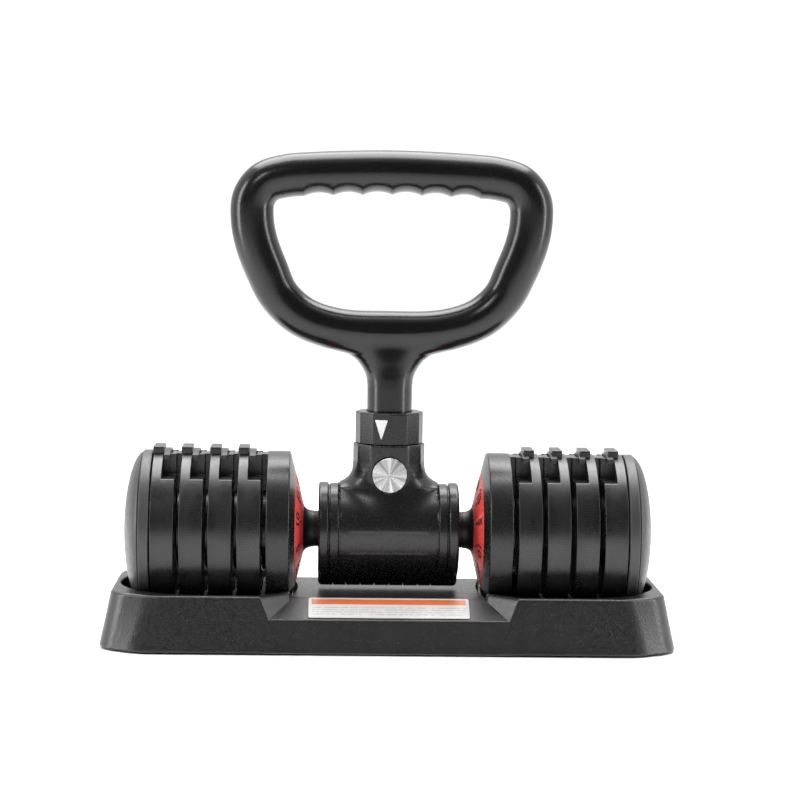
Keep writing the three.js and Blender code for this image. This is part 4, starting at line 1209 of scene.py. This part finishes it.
# Centre line of the right half, bottom to top: x, height above the axis, radius.
HANDLE_PATH = [
    (0, 148.7, 15), (39.9, 150.2, 15.2), (65.8, 158.7, 15.3), (83.3, 174.6, 15.2),
    (92.4, 193, 15.9), (100.3, 213.5, 16), (103.5, 230.5, 16), (102.6, 246, 16),
    (94.2, 257.6, 15.8), (78, 262.8, 16), (60, 264.3, 16.3), (30, 265.6, 16.5), (0, 266.2, 16.5),
]  # fmt: skip
STEM = np.array([
    (29, 16.6, 16.6), (107, 16.7, 16.6), (113.5, 17.3, 16.4), (118, 18.8, 16.0), (122.5, 21.4, 15.6),
    (127, 24.8, 15.4), (131.5, 30.6, 15.0), (136, 43.6, 14.4), (141, 50.6, 13.6),
])  # fmt: skip


def closed_path(points, per_span=14):
    """Centripetal Catmull-Rom curve through the points, with their radii, sampled evenly."""
    points = np.array(points, float)
    count = len(points)
    made = []
    for i in range(count):
        p = [points[(i + k) % count] for k in (-1, 0, 1, 2)]
        steps = [max(np.linalg.norm(p[k + 1][:2] - p[k][:2]) ** 0.5, 1e-4) for k in range(3)]
        first = (p[1] - p[0]) / steps[0] - (p[2] - p[0]) / (steps[0] + steps[1]) + (p[2] - p[1]) / steps[1]
        last = (p[2] - p[1]) / steps[1] - (p[3] - p[1]) / (steps[1] + steps[2]) + (p[3] - p[2]) / steps[2]
        first, last = first * steps[1], last * steps[1]
        for t in np.arange(per_span) / per_span:
            a = 2 * p[1] - 2 * p[2] + first + last
            b = -3 * p[1] + 3 * p[2] - 2 * first - last
            made.append(a * t**3 + b * t * t + first * t + p[1])
    return np.array(made)


LOOP = closed_path(HANDLE_PATH + [(-x, z, r) for x, z, r in HANDLE_PATH[1:-1]][::-1])
FINGER_PITCH, FINGER_DEPTH = 21.9, 2.5


def handle_field(points):
    x, y, z = points[:, 0], points[:, 1], points[:, 2]
    start = LOOP[:, :2]
    span = np.roll(start, -1, 0) - start
    length = (span**2).sum(1)
    flat = points[:, [0, 2]]
    best = np.full(len(points), 1e9)
    radius = np.zeros(len(points))
    chosen = ((flat[:, None, :] - start[None]) ** 2).sum(2).argmin(1)
    for step in (-1, 0):
        i = (chosen + step) % len(LOOP)
        t = np.clip(((flat - start[i]) * span[i]).sum(1) / length[i], 0, 1)
        foot = start[i] + t[:, None] * span[i]
        far = ((flat - foot) ** 2).sum(1)
        nearer = far < best
        best = np.where(nearer, far, best)
        wide = LOOP[i, 2] * (1 - t) + LOOP[(i + 1) % len(LOOP), 2] * t
        radius = np.where(nearer, wide, radius)
    tube = np.sqrt(best + (y / 1.03) ** 2) - radius
    wave = (x / FINGER_PITCH) % 1 - 0.5
    scallop = FINGER_DEPTH * np.clip(1 - (2 * np.abs(wave)) ** 2, 0, 1)
    fingers_end = 3 * FINGER_PITCH
    along = ramp(-np.abs(x), -fingers_end - 0.4, -fingers_end + 0.4)
    underside = ramp(260 - z, 0, 9) * ramp(z, 225, 240) * along
    tube = tube + scallop * underside
    width = np.interp(z, STEM[:, 0], STEM[:, 1])
    depth = np.interp(z, STEM[:, 0], STEM[:, 2])
    stem = (np.hypot(x / width, y / depth) - 1) * np.minimum(width, depth)
    stem = np.maximum(stem, z - 146)
    stem = smooth_max(stem, 29.8 - z, 1.0)
    return smooth_min(tube, stem, 5.0)


def build_handle():
    rings = []
    ahead = np.roll(LOOP, -1, 0) - np.roll(LOOP, 1, 0)
    for (x, z, radius), (dx, dz, _) in zip(LOOP[::3], ahead[::3]):
        size = math.hypot(dx, dz)
        normal = (dz / size, -dx / size)
        ring = []
        for a in np.linspace(0, 2 * math.pi, 25)[:-1]:
            out = radius * math.cos(a)
            ring.append((x + normal[0] * out, radius * 1.03 * math.sin(a), z + normal[1] * out))
        rings.append(ring)
    loop = loft("grab_handle", rings, endless=True)
    around = np.linspace(0, 2 * math.pi, 33)[:-1]
    stem = [[(w * math.cos(a), d * math.sin(a), z) for a in around] for z, w, d in STEM]
    made = remeshed(add(loop, loft("tool", stem)), 1.25)
    project(made, handle_field)
    level = BUTTON[2] - AXIS
    screw = float(middle("stem_screw")[2]) - AXIS
    cut(made, cylinder("Y", -30, -8.5, 4.8, (0, 0, level)), cylinder("Y", 5.5, 30, 2.4, (0, 0, screw)))
    shift(made, z=AXIS)
    place(made, "kettlebell_handle", HANDLE, "handle", slot="handle_plastic", angle=60)


# ---------------------------------------------------------------- camera, light and floor


def build_camera():
    data = bpy.data.cameras.new("camera")
    data.lens, data.sensor_width = 102.8, 36.0
    data.clip_start, data.clip_end = 0.05, 30
    camera = linked("camera", data)
    camera.location = (-0.047, -1.700, 0.319)
    aim = Vector((0.0078, 0.0, 0.1793)) - camera.location
    camera.rotation_mode = "QUATERNION"
    roll = Quaternion((0, 0, 1), 0.0142)
    camera.rotation_quaternion = aim.to_track_quat("-Z", "Y") @ roll
    scene.camera = camera


def area_light(name, place_at, aim_at, size, power):
    data = bpy.data.lights.new(name, "AREA")
    data.shape, data.size, data.size_y = "RECTANGLE", size[0], size[1]
    data.energy = power
    light = linked(name, data)
    light.location = place_at
    light.rotation_mode = "QUATERNION"
    light.rotation_quaternion = (Vector(aim_at) - Vector(place_at)).to_track_quat("-Z", "Y")


def build_studio():
    scene.view_settings.view_transform = "Standard"
    world = bpy.data.worlds.new("studio")
    scene.world = world
    world.use_nodes = True
    tree = world.node_tree
    background = tree.nodes["Background"]
    coordinates = tree.nodes.new("ShaderNodeTexCoord")
    split = tree.nodes.new("ShaderNodeSeparateXYZ")
    tree.links.new(coordinates.outputs["Generated"], split.inputs[0])

    def graded(axis, low, high, start, end):
        made = tree.nodes.new("ShaderNodeMapRange")
        made.interpolation_type = "SMOOTHSTEP"
        tree.links.new(split.outputs[axis], made.inputs["Value"])
        for key, value in zip(("From Min", "From Max", "To Min", "To Max"), (low, high, start, end)):
            made.inputs[key].default_value = value
        return made.outputs["Result"]

    depth = graded(1, -0.42, 0.15, 0.10, 1.1)
    above = graded(2, 0.75, 1.0, 0.0, 0.5)
    total = tree.nodes.new("ShaderNodeMath")
    tree.links.new(depth, total.inputs[0])
    tree.links.new(above, total.inputs[1])
    tree.links.new(total.outputs[0], background.inputs["Strength"])
    background.inputs["Color"].default_value = (1, 1, 1, 1)

    sun = bpy.data.lights.new("sky_wash", "SUN")
    sun.energy, sun.angle = 1.0, math.radians(60)
    wash = linked("sky_wash", sun)
    wash.rotation_mode = "XYZ"
    wash.rotation_euler = (math.radians(-25), 0, 0)
    area_light("overhead", (0.0, 0.42, 1.5), (0, 0.1, 0.1), (1.8, 1.2), 34)
    area_light("key", (-0.75, -1.25, 1.25), (0, 0, 0.15), (0.35, 0.35), 3)
    area_light("right_strip", (1.3, -0.35, 0.55), (0, 0, 0.15), (0.25, 1.1), 7)
    area_light("left_strip", (-1.3, -0.3, 0.55), (0, 0, 0.15), (0.3, 1.1), 9)

    reach = 12000
    corners = [(-reach, -reach, 0), (reach, -reach, 0), (reach, reach, 0), (-reach, reach, 0)]
    floor = make("floor", corners, [(0, 1, 2, 3)])
    look = Look("floor_paper", 0.7, Specular_IOR_Level=0.2)
    cloud = look.cloud(3, 3)
    look.colour(look.mix(cloud, (0.90, 0.90, 0.90, 1), (0.93, 0.93, 0.93, 1)))
    floor.data.materials.append(look.material)


def build_carried_nodes():
    """CAD nodes whose shapes stay get their finish here."""
    looks = {
        "cradle_left": CRADLE,
        "cradle_right": CRADLE,
        "core_tube": STEEL,
        "drive_sleeve": HUB,
        "liner_rear": LINER,
        "liner_front": LINER,
    }
    for name, look in looks.items():
        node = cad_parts[name]
        node.data.materials.clear()
        node.data.materials.append(look)


build_camera()
build_studio()
build_tray()
build_label()
build_core(build_plates())
outer_shell = housing_outer()
shell(outer_shell, True)
shell(outer_shell, False)
bpy.data.objects.remove(outer_shell)
build_collar()
build_lock_sign()
build_button()
build_small_parts()
build_handle()
build_carried_nodes()
